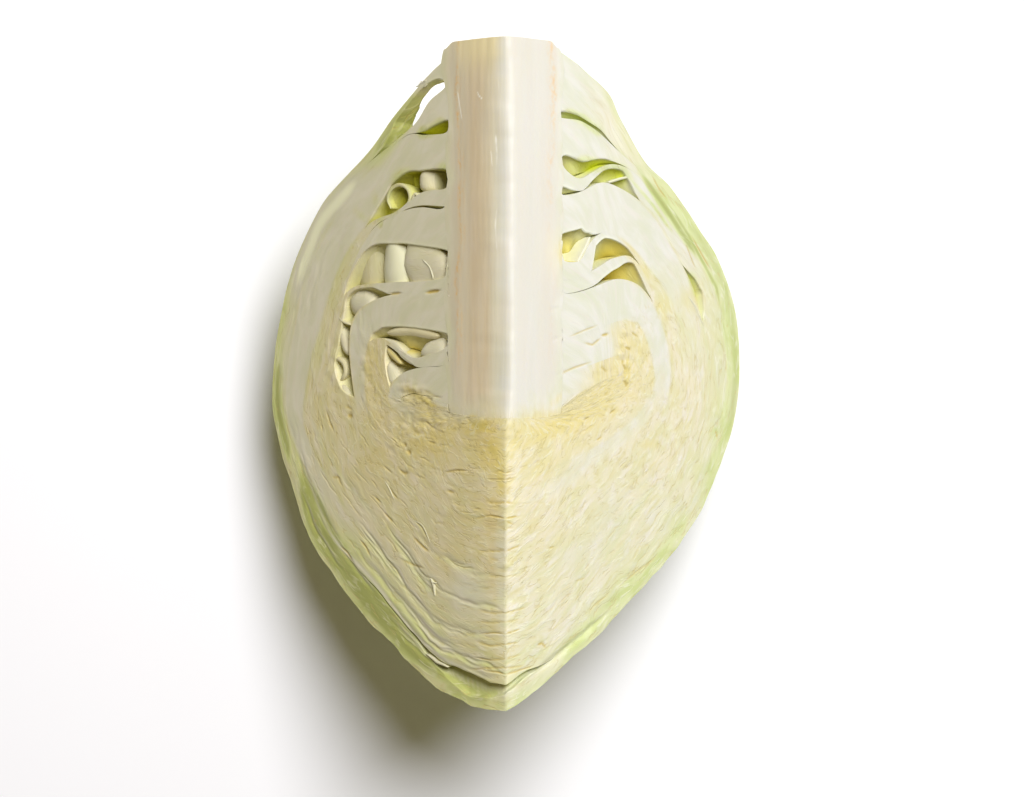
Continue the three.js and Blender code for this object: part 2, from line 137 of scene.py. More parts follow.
# %% Leaf outlines on the right face
LEAVES_RIGHT = {
    "leaf_01_torn": [
        (0, 19.6, 2.4, 10.2), (1, 26.4, 6.2, 9.8), (1.6, 34.2, 10.4, 8.2), (2, 38, 16.2, 5.2),
        (2.5, 46, 25.6, 2.6), (3, 55, 31.2, 2.2), (3.5, 64, 39.6, 2), (4, 73, 49.2, 2),
        (4.5, 78, 61, 1.9), (5, 79.3, 75, 1.9), (5.5, 77, 87.5, 1.8), (6, 70.4, 99.4, 1.8),
        (6.5, 62.3, 109.8, 1.8), (7, 51, 119.9, 1.8), (7.5, 37.6, 129.6, 1.8), (8, 23.2, 138.2, 1.8),
        (8.5, 11.2, 145.2, 2.6), (TIP, 0, 150, 3)],
    "leaf_02": [
        (0, 19.6, 17.1, 7.8), (1, 25.5, 17.7, 7), (2, 34.4, 21.9, 2), (3, 53.4, 33.8, 2),
        (4, 70.6, 50.6, 2), (5, 76.9, 75.4, 2.2), (6, 68.4, 98, 2.1), (7, 49.2, 116.8, 2),
        (8, 22.4, 135, 2), (TIP, 0, 143.4, 2)],
    "leaf_03": [
        (0, 19.6, 28.6, 3.8), (1, 24.5, 30.4, 1.8), (2, 34, 26.6, 1.1), (2.5, 42, 28, 1.2),
        (3, 50.6, 35.2, 1.6), (4, 67.8, 52.4, 2.2), (5, 74.2, 75.8, 2.2), (6, 66.2, 96.6, 2.1),
        (7, 47.8, 114.4, 2), (8, 22, 132.6, 2), (TIP, 0, 140.9, 2.1)],
    "leaf_04": [
        (0, 19.6, 35.2, 8), (1, 25.5, 33, 8.8), (2, 34, 31, 10), (3, 48.4, 37.4, 10),
        (4, 61.4, 52.6, 8), (4.5, 66, 63, 5), (5, 68.4, 76, 2.2), (6, 62.8, 94.6, 1.6),
        (7, 44.4, 109.6, 2), (8, 21, 127.4, 2.2), (TIP, 0, 135.2, 2.3)],
    "leaf_05": [
        (0, 19.6, 49.8, 3.4), (1, 24.2, 48.8, 2.6), (1.6, 27.6, 44.8, 2), (2, 32, 42.3, 1.6),
        (3, 41.8, 46, 1.4), (4, 54, 57.4, 1.6), (5, 65.6, 76.4, 1.6), (6, 60.7, 93.2, 1.5),
        (7, 41, 104.8, 2), (8, 20, 121.4, 2), (TIP, 0, 128, 2.2)],
    "leaf_06": [
        (0, 19.6, 54.4, 1.9), (1, 25.6, 52.4, 2.4), (1.6, 30.4, 50.2, 2.4), (2, 34.8, 48.4, 2.4),
        (3, 42.4, 48.4, 1.4), (4, 52.1, 58.8, 1.2), (5, 63.4, 76.6, 1.6), (6, 58.7, 91.8, 1.5),
        (7, 39.6, 102.2, 2), (8, 19, 114.4, 2), (TIP, 0, 120, 2.2)],
    "leaf_07": [
        (0, 19.6, 57.4, 8.8), (1, 28, 55.2, 8.4), (2, 36.4, 53, 8.2), (3, 44.6, 54.6, 7.6),
        (4, 50.8, 61, 6), (4.5, 53.8, 68, 5), (5, 55, 76.4, 5), (6, 49.4, 86.6, 4.4),
        (7, 34.6, 94.8, 4), (8, 17, 103.6, 3), (TIP, 0, 107.2, 2.5)],
    "leaf_08": [
        (0, 19.6, 67.4, 7), (1, 26.5, 65.4, 6.4), (2, 34, 63.4, 4.6), (3, 40.6, 62.6, 2),
        (4, 45.2, 65.4, 1.8), (5, 49, 76, 2), (6, 45.2, 82.6, 2), (7, 32.2, 90.2, 2),
        (8, 15.5, 95.6, 2.2), (TIP, 0, 98.6, 2.2)],
    "leaf_09": [
        (0, 19.6, 75.5, 4.4), (1, 26, 73.4, 4.4), (2, 32.5, 71.4, 4), (3, 38, 70.4, 3.4),
        (4, 42.4, 71.8, 3), (5, 44.6, 76.4, 2.8), (6, 41.2, 81.4, 2.4), (7, 29.8, 87.2, 2.4),
        (8, 14.5, 91, 2.2), (TIP, 0, 92.2, 2.2)],
    "heart_bud": [
        (0, 19.6, 80.7, 9), (1, 25, 78.6, 9), (2, 31.4, 76.4, 16), (3, 36.6, 74.8, 19),
        (4, 39.2, 75.4, 22), (5, 41, 76.8, 25), (6, 38.4, 80, 24), (7, 28.8, 84.4, 18), (8, 14, 88, 9),
        (TIP, 0, 89.2, 5)],
    "stalk_end": [
        (0, 19.6, 81.9, 0), (3, 19, 83, 0), (5, 17, 83.9, 0), (7, 11, 84.6, 0), (TIP, 0, 84.8, 0)],
}
LEAVES = (LEAVES_LEFT, LEAVES_RIGHT)
print(len(LEAVES_RIGHT) - 1, "leaves on the right face")

# %% Order of the leaves
ORDER = list(LEAVES_LEFT)                            # outside in
OUTERMOST = ORDER[0]
TIP_LEAVES_UNDER = [0, 0, 1, 2, 2, 4, 2, 1, 0, 0]    # layers of far-side leaves under each of ORDER
TIP_LEAVES_FROM = [0, 0, 6.3, 6.3, 6.3, 5.2, 6.4, 4.2, 0, 0]     # fan line where they begin
print(len(ORDER) - 1, "leaves and", sum(TIP_LEAVES_UNDER), "tip leaves")

# %% [markdown]
# ## Curves and chance
# Two tools serve all shapes. A row reader runs one smooth curve through a few listed places, as a
# bent batten does. A noise gives the small unevenness of anything that has grown: it is random, but
# the same every time, and close places get nearly the same value.

# %% Reading the outlines
def smooth(x, low, high):
    """0 below low, 1 above high, and an easy slope between them."""
    u = np.clip((x - low) / (high - low), 0.0, 1.0)
    return u * u * (3.0 - 2.0 * u)


def read_rows(rows, t):
    """The smooth curve through rows (t, value, ...), read at every t of an array."""
    table = np.array(rows, float)
    knots = table[:, 0]
    values = table[:, 1:]
    slopes = np.empty_like(values)
    slopes[1:-1] = (values[2:] - values[:-2]) / (knots[2:] - knots[:-2])[:, None]
    slopes[0] = (values[1] - values[0]) / (knots[1] - knots[0])
    slopes[-1] = (values[-1] - values[-2]) / (knots[-1] - knots[-2])
    t = np.asarray(t, float)
    i = np.clip(np.searchsorted(knots, t, side="right") - 1, 0, len(knots) - 2)
    span = knots[i + 1] - knots[i]
    u = np.clip((t - knots[i]) / span, 0.0, 1.0)
    start = (1 + 2 * u) * (1 - u) ** 2
    end = (3 - 2 * u) * u ** 2
    lead = span * u * (1 - u) ** 2
    tail = span * (u - 1) * u ** 2
    return (start[:, None] * values[i] + end[:, None] * values[i + 1]
            + lead[:, None] * slopes[i] + tail[:, None] * slopes[i + 1])


def at(rows, t, column):
    """One column of rows read at t, straight from row to row."""
    table = np.array(rows, float)
    return np.interp(t, table[:, 0], table[:, column])


def between(left, right, w):
    """What lies between a left value and a right value at share w."""
    return left + (right - left) * w


# %% Noise
def noise(points, size, seed, octaves=1):
    """Smooth random field from -1 to 1 at points in millimetres, with features of the given size."""
    total = np.zeros(len(points))
    weight = 1.0
    scale = 0.0
    for octave in range(octaves):
        grid = points / np.asarray(size, float) * 2 ** octave
        cell = np.floor(grid).astype(np.int64)
        part = grid - cell
        part = part * part * (3.0 - 2.0 * part)
        value = np.zeros(len(points))
        for corner in range(2 ** points.shape[1]):
            share = np.ones(len(points))
            code = np.full(len(points), seed * 7919 + octave * 104729, np.int64)
            for axis in range(points.shape[1]):
                bit = corner >> axis & 1
                share *= part[:, axis] if bit else 1.0 - part[:, axis]
                code = (code * 1664525 + (cell[:, axis] + bit) * 22695477 + 1013904223) & 0x7FFFFFFF
            code = (code ^ code >> 13) * 1274126177 & 0x7FFFFFFF
            value += share * ((code ^ code >> 16) % 65536 / 32767.5 - 1.0)
        total += weight * value
        scale += weight
        weight *= 0.5
    return total / scale


probe = np.stack([np.linspace(0.0, 100.0, 400), np.zeros(400)], axis=1)
print("noise from %.2f to %.2f" % (noise(probe, 5.0, 1).min(), noise(probe, 5.0, 1).max()))

# %% Lengths of the leaves
FINE_T = np.linspace(0.0, TIP, 721)


def along_curve(outlines, name):
    """Millimetres from the tip to each FINE_T place of a leaf's outer side."""
    points = read_rows(outlines[name], FINE_T)[:, :2]
    steps = np.hypot(*np.diff(points, axis=0).T)
    return np.concatenate([np.cumsum(steps[::-1])[::-1], [0.0]])


LENGTHS = {name: (along_curve(LEAVES_LEFT, name), along_curve(LEAVES_RIGHT, name)) for name in ORDER}


def mean_length(name):
    """The length from the tip to each FINE_T place, halfway between the two faces."""
    return 0.5 * (LENGTHS[name][LEFT] + LENGTHS[name][RIGHT])


def spread_t(name, start, x):
    """Fan lines from start to the tip that lie evenly along the leaf, for x from 0 to 1."""
    length = mean_length(name)
    first = np.interp(start, FINE_T, length)
    return np.interp(-(1.0 - x) * first, -length, FINE_T)


for name in (OUTERMOST, "heart_bud"):
    print(name, "is %.0f mm long" % mean_length(name)[0])

# %% [markdown]
# ## Where leaves stand apart
# Near the stalk the leaves are stiff ribs with hollows between them; further out they lie skin to
# skin. For each leaf the hollow under it is listed on both faces: fan line, how far it is open
# (1 is as wide as the ribs allow, 0 is pressed shut), and how many millimetres deep it runs. The
# hollow comes out of the leaves' own thickness there, so no cutting tool is needed.

# %% Hollows on the left face
HOLLOWS_LEFT = {
    "leaf_01_torn": [
        (0, 1, 14), (2, 1, 14), (2.6, 0, 6), (6.6, 0, 0.8), (7.1, 0.06, 0.8), (7.6, 0.1, 0.9),
        (8, 0.35, 1.2), (8.35, 1, 1.8), (8.7, 0.9, 1.8), (TIP, 0.6, 1.8)],
    "leaf_02": [(0, 1, 3.4), (0.6, 0.8, 3.2), (1.6, 0.4, 1.8), (2.4, 0, 1)],
    "leaf_03": [
        (0, 1, 4), (0.25, 1, 8), (0.6, 1, 8), (0.9, 1, 7), (1.1, 1, 9), (1.3, 1, 14), (1.65, 1, 12),
        (1.8, 1, 3), (2.2, 1, 2.2), (2.6, 0.6, 2), (3, 0, 1)],
    "leaf_04": [(0, 0.6, 1.2), (1, 0.3, 1), (2, 0.3, 1), (2.6, 0.4, 2), (3, 0, 1)],
    "leaf_05": [
        (0, 1, 1.6), (0.25, 1, 4), (0.6, 1, 3), (1.9, 1, 3), (2.15, 1, 2), (2.5, 1, 3.4),
        (2.75, 1, 1.8), (3.1, 1, 0.9), (3.5, 0.8, 1), (4.2, 0, 1)],
    "leaf_06": [
        (0, 0, 0.8), (2, 0, 0.8), (2.6, 1, 1.5), (3, 1, 2), (3.6, 1, 2.2), (4.2, 1, 2.6), (4.6, 1, 2.2),
        (4.9, 0.5, 1.4), (5.1, 0, 1)],
    "leaf_07": [
        (0, 1, 0.6), (0.35, 1, 1.4), (0.8, 1, 2.2), (1.5, 1, 2.6), (2.2, 1, 2), (2.8, 1, 1.2),
        (3.4, 0.5, 1), (3.8, 0, 1)],
    "leaf_08": [
        (0, 0.2, 0.8), (1, 0.4, 0.8), (1.7, 1, 2.4), (2.3, 1, 4.5), (2.8, 1, 2.6), (3.3, 0.5, 1),
        (3.7, 0, 1)],
    "leaf_09": [(0, 0, 1), (1, 0.12, 0.8), (3, 0.12, 0.8), (4, 0, 0.5)],
    "heart_bud": [(0, 0, 1)],
}
print(len(HOLLOWS_LEFT), "hollows on the left face")

# %% Hollows on the right face
HOLLOWS_RIGHT = {
    "leaf_01_torn": [
        (0, 0.4, 1.6), (0.5, 0.45, 1.8), (1, 0.5, 1.6), (1.7, 0.5, 1.2), (2.2, 0, 0.8), (8.2, 0, 1.6),
        (8.6, 0.4, 1.6), (TIP, 0.6, 1.8)],
    "leaf_02": [(0, 1, 2.2), (0.5, 0.8, 2.2), (1.5, 0.5, 1.3), (2.4, 0.2, 0.8), (2.8, 0, 0.8)],
    "leaf_03": [
        (0, 1, 1.6), (0.6, 0.5, 1.2), (0.95, 0.05, 0.6), (1.3, 0.6, 1.6), (1.8, 1, 2.4), (2.3, 1, 2.2),
        (2.7, 0, 1), (3.8, 0, 0.8), (4, 0.5, 1), (4.15, 0.7, 1.5), (4.35, 0.4, 0.9), (4.5, 0, 0.8)],
    "leaf_04": [(0, 1, 2), (0.5, 1, 4), (1, 1, 3.4), (1.5, 0.6, 2), (1.9, 0, 1)],
    "leaf_05": [(0, 0, 0.8), (1.3, 0, 1), (1.7, 1, 2), (2.2, 1, 3), (2.8, 0.9, 2.2), (3.2, 0, 1)],
    "leaf_06": [
        (0, 0.1, 0.6), (1, 0.2, 0.8), (1.8, 0.8, 2), (2.4, 1, 3.4), (2.9, 1, 2.8), (3.3, 0.3, 1.2),
        (3.6, 0, 1)],
    "leaf_07": [(0, 0, 0.5)],
    "leaf_08": [(0, 0, 0.5)],
    "leaf_09": [(0, 0, 0.5)],
    "heart_bud": [(0, 0, 0.5)],
}
HOLLOWS = (HOLLOWS_LEFT, HOLLOWS_RIGHT)
print(len(HOLLOWS_RIGHT), "hollows on the right face")

# %% The stalk's side
STALK_SIDE = (
    [(0, 19.6), (3, 20.4), (6, 21.0), (9, 19.6), (14, 18.5), (19, 18.2), (23, 19.4), (28, 19.2),
     (31, 18.5), (36, 19.6), (42, 19.4), (47.5, 18.4), (51, 19), (57, 19.9), (63, 19.4), (66.5, 18.4),
     (72, 19.5), (77, 18.6), (90, 18)],
    [(0, 16.8), (3, 18.2), (6, 18.9), (12, 18.2), (16, 17.6), (21, 18.6), (26, 18), (31, 18.8),
     (34, 17.8), (39, 18.8), (45, 17.8), (50, 18.2), (57, 18.6), (62, 17.8), (68, 18.4), (90, 17.8)])
FIRST_S = (20.4, 19.6)                               # where the outlines begin, beside the stalk
print("stalk", STALK_SIDE[LEFT][0][1], "and", STALK_SIDE[RIGHT][0][1], "mm wide at its cut end")

# %% Outer sides and the room between them
RUFFLED = {"leaf_02": (0.9, 0.9), "leaf_03": (0.7, 0.0), "leaf_04": (0.5, 0.0)}   # mm, left and right
BASE_FLARE = 0.16                                    # fan lines over which a leaf flares at its base


def outer_side(name, side, t):
    """The outer side of a leaf on one cut face as (s, v); it flares into the stalk at its base."""
    points = read_rows(LEAVES[side][name], t)[:, :2]
    base = 1.0 - smooth(t, 0.0, 0.8)
    reach = at(STALK_SIDE[side], points[:, 1], 1)
    points[:, 0] += (reach - FIRST_S[side]) * base
    if name == "stalk_end":
        points[:, 0] = np.minimum(points[:, 0], reach) - 0.001 * t
    elif ORDER.index(name) > 1:
        points[:, 1] -= 1.0 * np.exp(-t / BASE_FLARE)
    wave = noise(t[:, None], 0.42, 88 + side + 3 * ORDER.index(name), 2)
    ruffle = RUFFLED.get(name, (0.0, 0.0))[side]
    points[:, 1] += ruffle * wave * smooth(t, 6.2, 6.8) * (1.0 - smooth(t, 8.6, TIP))
    return points


def layout(name, side, t):
    """Outer side, the next leaf's outer side, and the shares of the room between that are hollow
    and that belong to tip leaves; the depth of the hollow last."""
    k = ORDER.index(name)
    outer = outer_side(name, side, t)
    following = outer_side(ORDER[k + 1], side, t)
    room = np.maximum(np.hypot(*(following - outer).T), 1e-6)
    own = read_rows(LEAVES[side][name], t)[:, 2] + 1.3 * np.exp(-t / BASE_FLARE)
    spare = 1.0 - np.minimum(own / room, 1.0)
    rows = HOLLOWS[side][name]
    hollow = spare * at(rows, t, 1)
    tips = np.zeros_like(t)
    if TIP_LEAVES_UNDER[k]:
        tips = spare * smooth(t, TIP_LEAVES_FROM[k], TIP_LEAVES_FROM[k] + 1.3)
    return outer, following, hollow, tips, at(rows, t, 2)


deepest = max(layout(name, side, FINE_T)[4].max() for name in ORDER[:-1] for side in (LEFT, RIGHT))
print("deepest hollow %.0f mm" % deepest)

# %% [markdown]
# ## The cut itself
# The knife leaves flat faces, but the flesh is layered: ridges follow the leaves, slits show where
# two layers part, and a lip often stands up beside a slit. Such marks could be modelled one by one,
# but there are hundreds. So each face gets maps of its own in millimetres, which are read by every
# leaf that the face cuts: one for relief and dips, and one each for white rib with painted highlights,
# yellow heart with golden walls of the hollows, green skin, browned tissue with painted shade in one
# hollow, and crinkles. They are painted with strokes and blots, as with a brush.

# %% Maps of the two cut faces
CELL = 0.2                                           # mm
FACE_CELLS = (int(84 / CELL), int(153 / CELL))
COLOUR_MAPS = ("white", "yellow", "green", "brown", "crinkle")
MAPS = {kind: [np.zeros(FACE_CELLS), np.zeros(FACE_CELLS)] for kind in ("relief", "dip") + COLOUR_MAPS}


def window_of(field, low, high, margin):
    """The part of a map around a box, with the s and v of its cells."""
    i0, i1 = (int(np.clip(x / CELL, 0, FACE_CELLS[0])) for x in (low[0] - margin, high[0] + margin))
    j0, j1 = (int(np.clip(x / CELL, 0, FACE_CELLS[1])) for x in (low[1] - margin, high[1] + margin))
    s, v = np.meshgrid(np.arange(i0, i1) * CELL, np.arange(j0, j1) * CELL, indexing="ij")
    return field[i0:i1, j0:j1], s, v


def face_map(kind, side, s, v):
    """One of a face's maps read at (s, v)."""
    field = MAPS[kind][side]
    x = np.clip(s / CELL, 0, FACE_CELLS[0] - 1.01)
    y = np.clip(v / CELL, 0, FACE_CELLS[1] - 1.01)
    i = x.astype(int)
    j = y.astype(int)
    x = x - i
    y = y - j
    return ((field[i, j] * (1 - x) + field[i + 1, j] * x) * (1 - y)
            + (field[i, j + 1] * (1 - x) + field[i + 1, j + 1] * x) * y)


print(len(MAPS), "maps of", FACE_CELLS[0], "by", FACE_CELLS[1], "cells on each face")

# %% Strokes and blots
def stroke(kind, side, path, wide, value, lip=0.0):
    """Draw along a path of (s, v): the value fades out over wide; a lip rises on its right hand."""
    path = np.array(path, float)
    field, s, v = window_of(MAPS[kind][side], path.min(0), path.max(0), 3 * wide + 0.5)
    if field.size == 0:
        return
    near = np.full(s.shape, 1e9)
    signed = np.zeros(s.shape)
    taper = np.zeros(s.shape)
    lengths = np.hypot(*np.diff(path, axis=0).T)
    done = 0.0
    for start, end, length in zip(path[:-1], path[1:], lengths):
        run = (end - start) / max(length, 1e-9)
        u = np.clip((s - start[0]) * run[0] + (v - start[1]) * run[1], 0, length)
        ds = s - start[0] - u * run[0]
        dv = v - start[1] - u * run[1]
        far = np.hypot(ds, dv)
        closer = far < near
        near = np.where(closer, far, near)
        signed = np.where(closer, np.sign(run[0] * dv - run[1] * ds) * far, signed)
        place_on = (done + u) / max(lengths.sum(), 1e-9)
        taper = np.where(closer, np.minimum(place_on, 1 - place_on), taper)
        done += length
    ends = 0.25 + 0.75 * smooth(taper, 0.0, 0.25)
    np.maximum(field, value * ends * np.exp(-(near / (wide * (0.4 + 0.6 * ends))) ** 2), out=field)
    if lip:
        field -= lip * ends * np.exp(-((signed - 2.0 * wide) / wide) ** 2)


def blot(kind, side, s0, v0, ds, dv, value, turn=0.0):
    """A soft oval patch."""
    size = max(ds, dv)
    field, s, v = window_of(MAPS[kind][side], (s0, v0), (s0, v0), 2.2 * size)
    c, n = math.cos(math.radians(turn)), math.sin(math.radians(turn))
    x = ((s - s0) * c + (v - v0) * n) / ds
    y = (-(s - s0) * n + (v - v0) * c) / dv
    np.maximum(field, value * np.exp(-(x * x + y * y)), out=field)


def beside(name, side, low, high, inset):
    """A path that runs a few millimetres inside a leaf's outer side."""
    t = np.linspace(low, high, 24)
    outer, following = layout(name, side, t)[:2]
    inwards = following - outer
    return outer + inwards / np.hypot(*inwards.T)[:, None] * inset


def paint(kind, side, strokes=(), blots=()):
    """Paint strokes of (width, value, path) and blots of (s, v, ds, dv, value, turn) on one map."""
    for wide, value, path in strokes:
        stroke(kind, side, path, wide, value)
    for row in blots:
        blot(kind, side, *row)
    print("%s, %s face:" % (kind, ("left", "right")[side]), len(strokes), "strokes,", len(blots), "blots")


# %% Slits at random places
rng = np.random.default_rng(17)
LEAF_SHARE = np.array([0.0, 0.6, 1.4, 2.0, 1.9, 2.6, 1.6, 1.6, 1.2, 0.8])     # of the slits
DENSE_LEFT = [6.5, 5.6, 5.8, 5.0, 4.8, 5.4, 5.2, 4.4, 4.6, 5.0]      # fan line of the first slit
DENSE_RIGHT = [6.5, 5.2, 5.0, 4.6, 4.0, 4.2, 3.0, 3.0, 2.6, 2.4]


def scatter(side, count, first_t, deep, wide, half):
    """Slits at random places between the layers, lying along them."""
    for _ in range(count):
        k = rng.choice(len(LEAF_SHARE), p=LEAF_SHARE / LEAF_SHARE.sum())
        t = rng.uniform(first_t[k], TIP)
        h = rng.uniform(0, 1)
        length = rng.uniform(*half) * rng.uniform(0.4, 1.0)
        lead = length / 26.0
        stations = np.clip(t + lead * np.linspace(-1.0, 1.0, 6), 0, 2 * TIP - 0.01)
        outer, following = layout(ORDER[k], side, np.minimum(stations, TIP))[:2]
        path = outer + (following - outer) * h
        path += rng.normal(0, 0.3, path.shape)
        size = rng.uniform(0.3, 1.0)
        stroke("relief", side, path, rng.uniform(*wide) * (0.6 + 0.4 * size), rng.uniform(*deep) * size,
               rng.choice([0.0, 0.06, 0.10]) * size)


scatter(LEFT, 300, DENSE_LEFT, (0.05, 0.26), (0.12, 0.18), (1.5, 6))
scatter(RIGHT, 170, DENSE_RIGHT, (0.06, 0.3), (0.12, 0.18), (1.5, 7))
print("scattered slits up to %.2f mm deep" % MAPS["relief"][LEFT].max())

# %% Slits across the knife edge
EDGE_SLITS = [                                       # v, reach to the left and right, depth
    (97, 4, 2, 0.6), (98.4, 6, 3, 0.5), (101.4, 3, 2, 0.4), (103.4, 6, 2, 0.8), (107, 10, 4, 0.8),
    (109.2, 7, 3, 0.4), (114.2, 9, 5, 0.9), (120, 6, 4, 0.4), (128, 9, 7, 0.7), (130, 9, 5, 0.6),
    (132.6, 8, 5, 0.8), (135, 10, 4, 0.8), (138.2, 10, 5, 0.7), (140.2, 12, 6, 0.6), (141.6, 6, 9, 0.7)]
for v, left_reach, right_reach, deep in EDGE_SLITS:
    wave = rng.normal(0, 0.4, 3)
    left_path = [(0, v), (left_reach / 2, v + wave[0]), (left_reach, v + wave[1])]
    right_path = [(0, v), (right_reach, v - 0.12 * right_reach + wave[2])]
    stroke("relief", LEFT, left_path, 0.17, deep * 0.5, 0.06)
    stroke("relief", RIGHT, right_path, 0.17, deep * 0.6, 0.06)
print(len(EDGE_SLITS), "slits across the knife edge")

# %% Single slits on the left face
LEFT_SLITS = [                                       # depth, width, path
    (0.9, 0.3, [(20, 97.2), (16, 96.6), (12, 96.6)]), (1.1, 0.35, [(18.8, 101.2), (16.4, 101.6)]),
    (1, 0.5, [(34.5, 96.8), (33, 97.6), (31.5, 97.3)]), (1.3, 0.6, [(33, 90.6), (32.4, 91.4)]),
    (1.3, 0.6, [(31.8, 92.2), (31, 93.2)]), (1, 0.3, [(24.8, 90.2), (22.5, 90.6)]),
    (0.9, 0.35, [(43, 103.2), (41, 104.4)]), (0.9, 0.35, [(40, 106.6), (38, 108), (36.4, 109)]),
    (1, 0.4, [(48, 113.4), (46, 115), (44.6, 117)]), (1.1, 0.4, [(30, 112), (27, 114), (24.4, 115.4)]),
    (0.9, 0.3, [(34, 117.4), (30, 118.4), (26, 119)]),
    (0.9, 0.35, [(55, 115), (52.5, 116.4), (50.5, 118.6)]), (1.2, 0.7, [(52.4, 84.3), (50.6, 84.6)]),
    (0.8, 0.4, [(53, 82.2), (50.4, 83)]), (0.9, 0.4, [(58, 99), (55.6, 98.8), (54.6, 101)]),
    (0.8, 0.3, [(38, 100.4), (37, 102), (35, 103.6)]), (0.8, 0.35, [(60, 83), (58.6, 86), (57, 88.4)]),
    (0.7, 0.3, [(30, 108), (27, 109.6), (25, 112.4)]),
    (1.6, 0.45, [(25.8, 56.4), (23.4, 56.1), (21, 56)]), (1, 0.4, [(38, 56.4), (34, 56.2)]),
    (0.6, 0.3, [(27, 78.2), (23, 79.8), (20.5, 80.4)]), (0.6, 0.3, [(26, 85.6), (23, 87.4)]),
    (0.6, 0.3, [(29, 98), (26, 98.6)]), (0.6, 0.3, [(40, 96), (37, 97.6)])]
for deep, wide, path in LEFT_SLITS:
    stroke("relief", LEFT, path, wide * 0.7, deep * 0.4, 0.04)
print(len(LEFT_SLITS), "single slits on the left face")

# %% Single slits on the right face
RIGHT_SLITS = [
    (0.9, 0.35, [(14.6, 67.4), (17, 66.8)]), (0.7, 0.25, [(20, 66.6), (25, 65), (30, 63.6)]),
    (0.8, 0.3, [(14, 75.4), (17, 75), (22, 73.4), (28, 72)]),
    (0.8, 0.35, [(25, 67.6), (28, 68.2), (31, 66.4)]), (1, 0.5, [(31, 66), (33.4, 65.6)]),
    (1, 0.4, [(30.8, 73), (33, 74.4)]), (1.2, 0.6, [(38.8, 68.6), (40.8, 69)]),
    (1.4, 0.7, [(38.6, 76.4), (40, 77.4)]), (1.1, 0.45, [(38.2, 71), (38.2, 72.6), (39.4, 74)]),
    (0.8, 0.4, [(41, 65), (43, 66)]), (1, 0.4, [(33.8, 83.8), (35.6, 83)]),
    (0.8, 0.4, [(32, 79.6), (33.2, 79)]), (0.8, 0.35, [(25, 85.4), (27, 84.6)]),
    (0.8, 0.35, [(29.4, 90), (31, 89.2)]), (0.9, 0.3, [(13.4, 114), (15.6, 113.8)]),
    (0.9, 0.3, [(0, 107.6), (3, 108.4)]), (1, 0.5, [(10, 135.6), (11.6, 135.2), (13, 136.4)]),
    (0.6, 0.3, [(14, 60.4), (18, 60.2)]), (0.8, 0.35, [(48, 28.4), (50.6, 31.4), (53.4, 33.8)]),
    (0.8, 0.4, [(62, 42), (66, 46.6), (69, 50)]), (0.7, 0.3, [(60, 44), (63.6, 50)]),
    (0.9, 0.4, [(70.6, 88), (71.4, 90)]), (0.5, 0.4, [(38, 123), (44, 120), (50, 117.2)]),
    (0.6, 0.3, [(22, 121.8), (26, 121.2)]), (0.6, 0.3, [(28, 128), (33, 125.4)])]
for deep, wide, path in RIGHT_SLITS:
    stroke("relief", RIGHT, path, wide * 0.6, deep * 0.5, 0.0)
print(len(RIGHT_SLITS), "single slits on the right face")

# %% [markdown]
# ## Torn leaf edges at the tip
# Towards the tip the knife drags on thin leaves, and their edges part and shine: a white line, a dip
# beside it, and greener skin in the dip. They lie a little inside a leaf's outer side and wander, so
# they are laid along the leaves by chance rather than drawn.

# %% Torn edges of the middle leaves
TORN_EDGES = [                                       # leaf, first fan line, how many, how bright
    ("leaf_02", 6.6, 4, 0.8), ("leaf_03", 6.5, 7, 1.1), ("leaf_04", 6.7, 6, 0.9),
    ("leaf_05", 7, 4, 0.8), ("leaf_06", 7.4, 3, 0.6)]
for name, low, count, bright in TORN_EDGES:
    for _ in range(count):
        begin = rng.uniform(low, 8.3)
        end = min(begin + rng.uniform(0.5, 1.3), 8.95)
        inset = rng.uniform(0.0, 1.8)
        path = beside(name, LEFT, begin, end, inset)
        path[:, 1] += rng.uniform(0.6, 1.5) * noise(path, 4.5, 300 + int(100 * inset), 2)
        strong = bright * rng.uniform(0.5, 1.0)
        stroke("white", LEFT, path, rng.uniform(0.4, 0.8), strong)
        stroke("dip", LEFT, path + (0.5, 0.7), rng.uniform(0.4, 0.7), 0.34 * strong)
        stroke("green", LEFT, path + (0.7, 1.0), 1.0, strong)
print(sum(row[2] for row in TORN_EDGES), "torn edges of the middle leaves")

# %% Torn edges of the outermost leaf
edges = np.random.default_rng(31)
for _ in range(12):
    begin = edges.uniform(5.6, 8.3)
    end = min(begin + edges.uniform(0.4, 1.1), 8.8)
    path = beside(OUTERMOST, LEFT, begin, end, edges.uniform(2.6, 7.4))
    path[:, 1] += edges.uniform(0.4, 1.0) * noise(path, 4.0, 400 + int(10 * begin), 2)
    stroke("white", LEFT, path, edges.uniform(0.3, 0.6), edges.uniform(0.3, 0.65))
    stroke("dip", LEFT, path + (0.4, 0.6), 0.5, 0.22)
paint("dip", LEFT, [
    (0.5, 0.35, beside("leaf_02", LEFT, 8, 8.8, -0.35)),
    (1.2, 0.3, [(70, 92), (68.4, 98), (63, 106), (55, 114.6)])])
paint("dip", RIGHT, [(0.8, 0.5, [(8, 142.6), (16, 138.6), (24, 134.6), (33, 129.6)])])

# %% [markdown]
# ## Colours of the cut
# Ribs and the stalk are white because they hold air and water and no green. Young leaves of the
# heart have never seen light and are yellow. Green begins at the skins that light reaches: the
# outermost leaf and the walls of the hollows near it. Broken cells turn brown in air, and the
# youngest leaves are crinkled. Values above 1 are allowed and mean a deeper shade of the same.

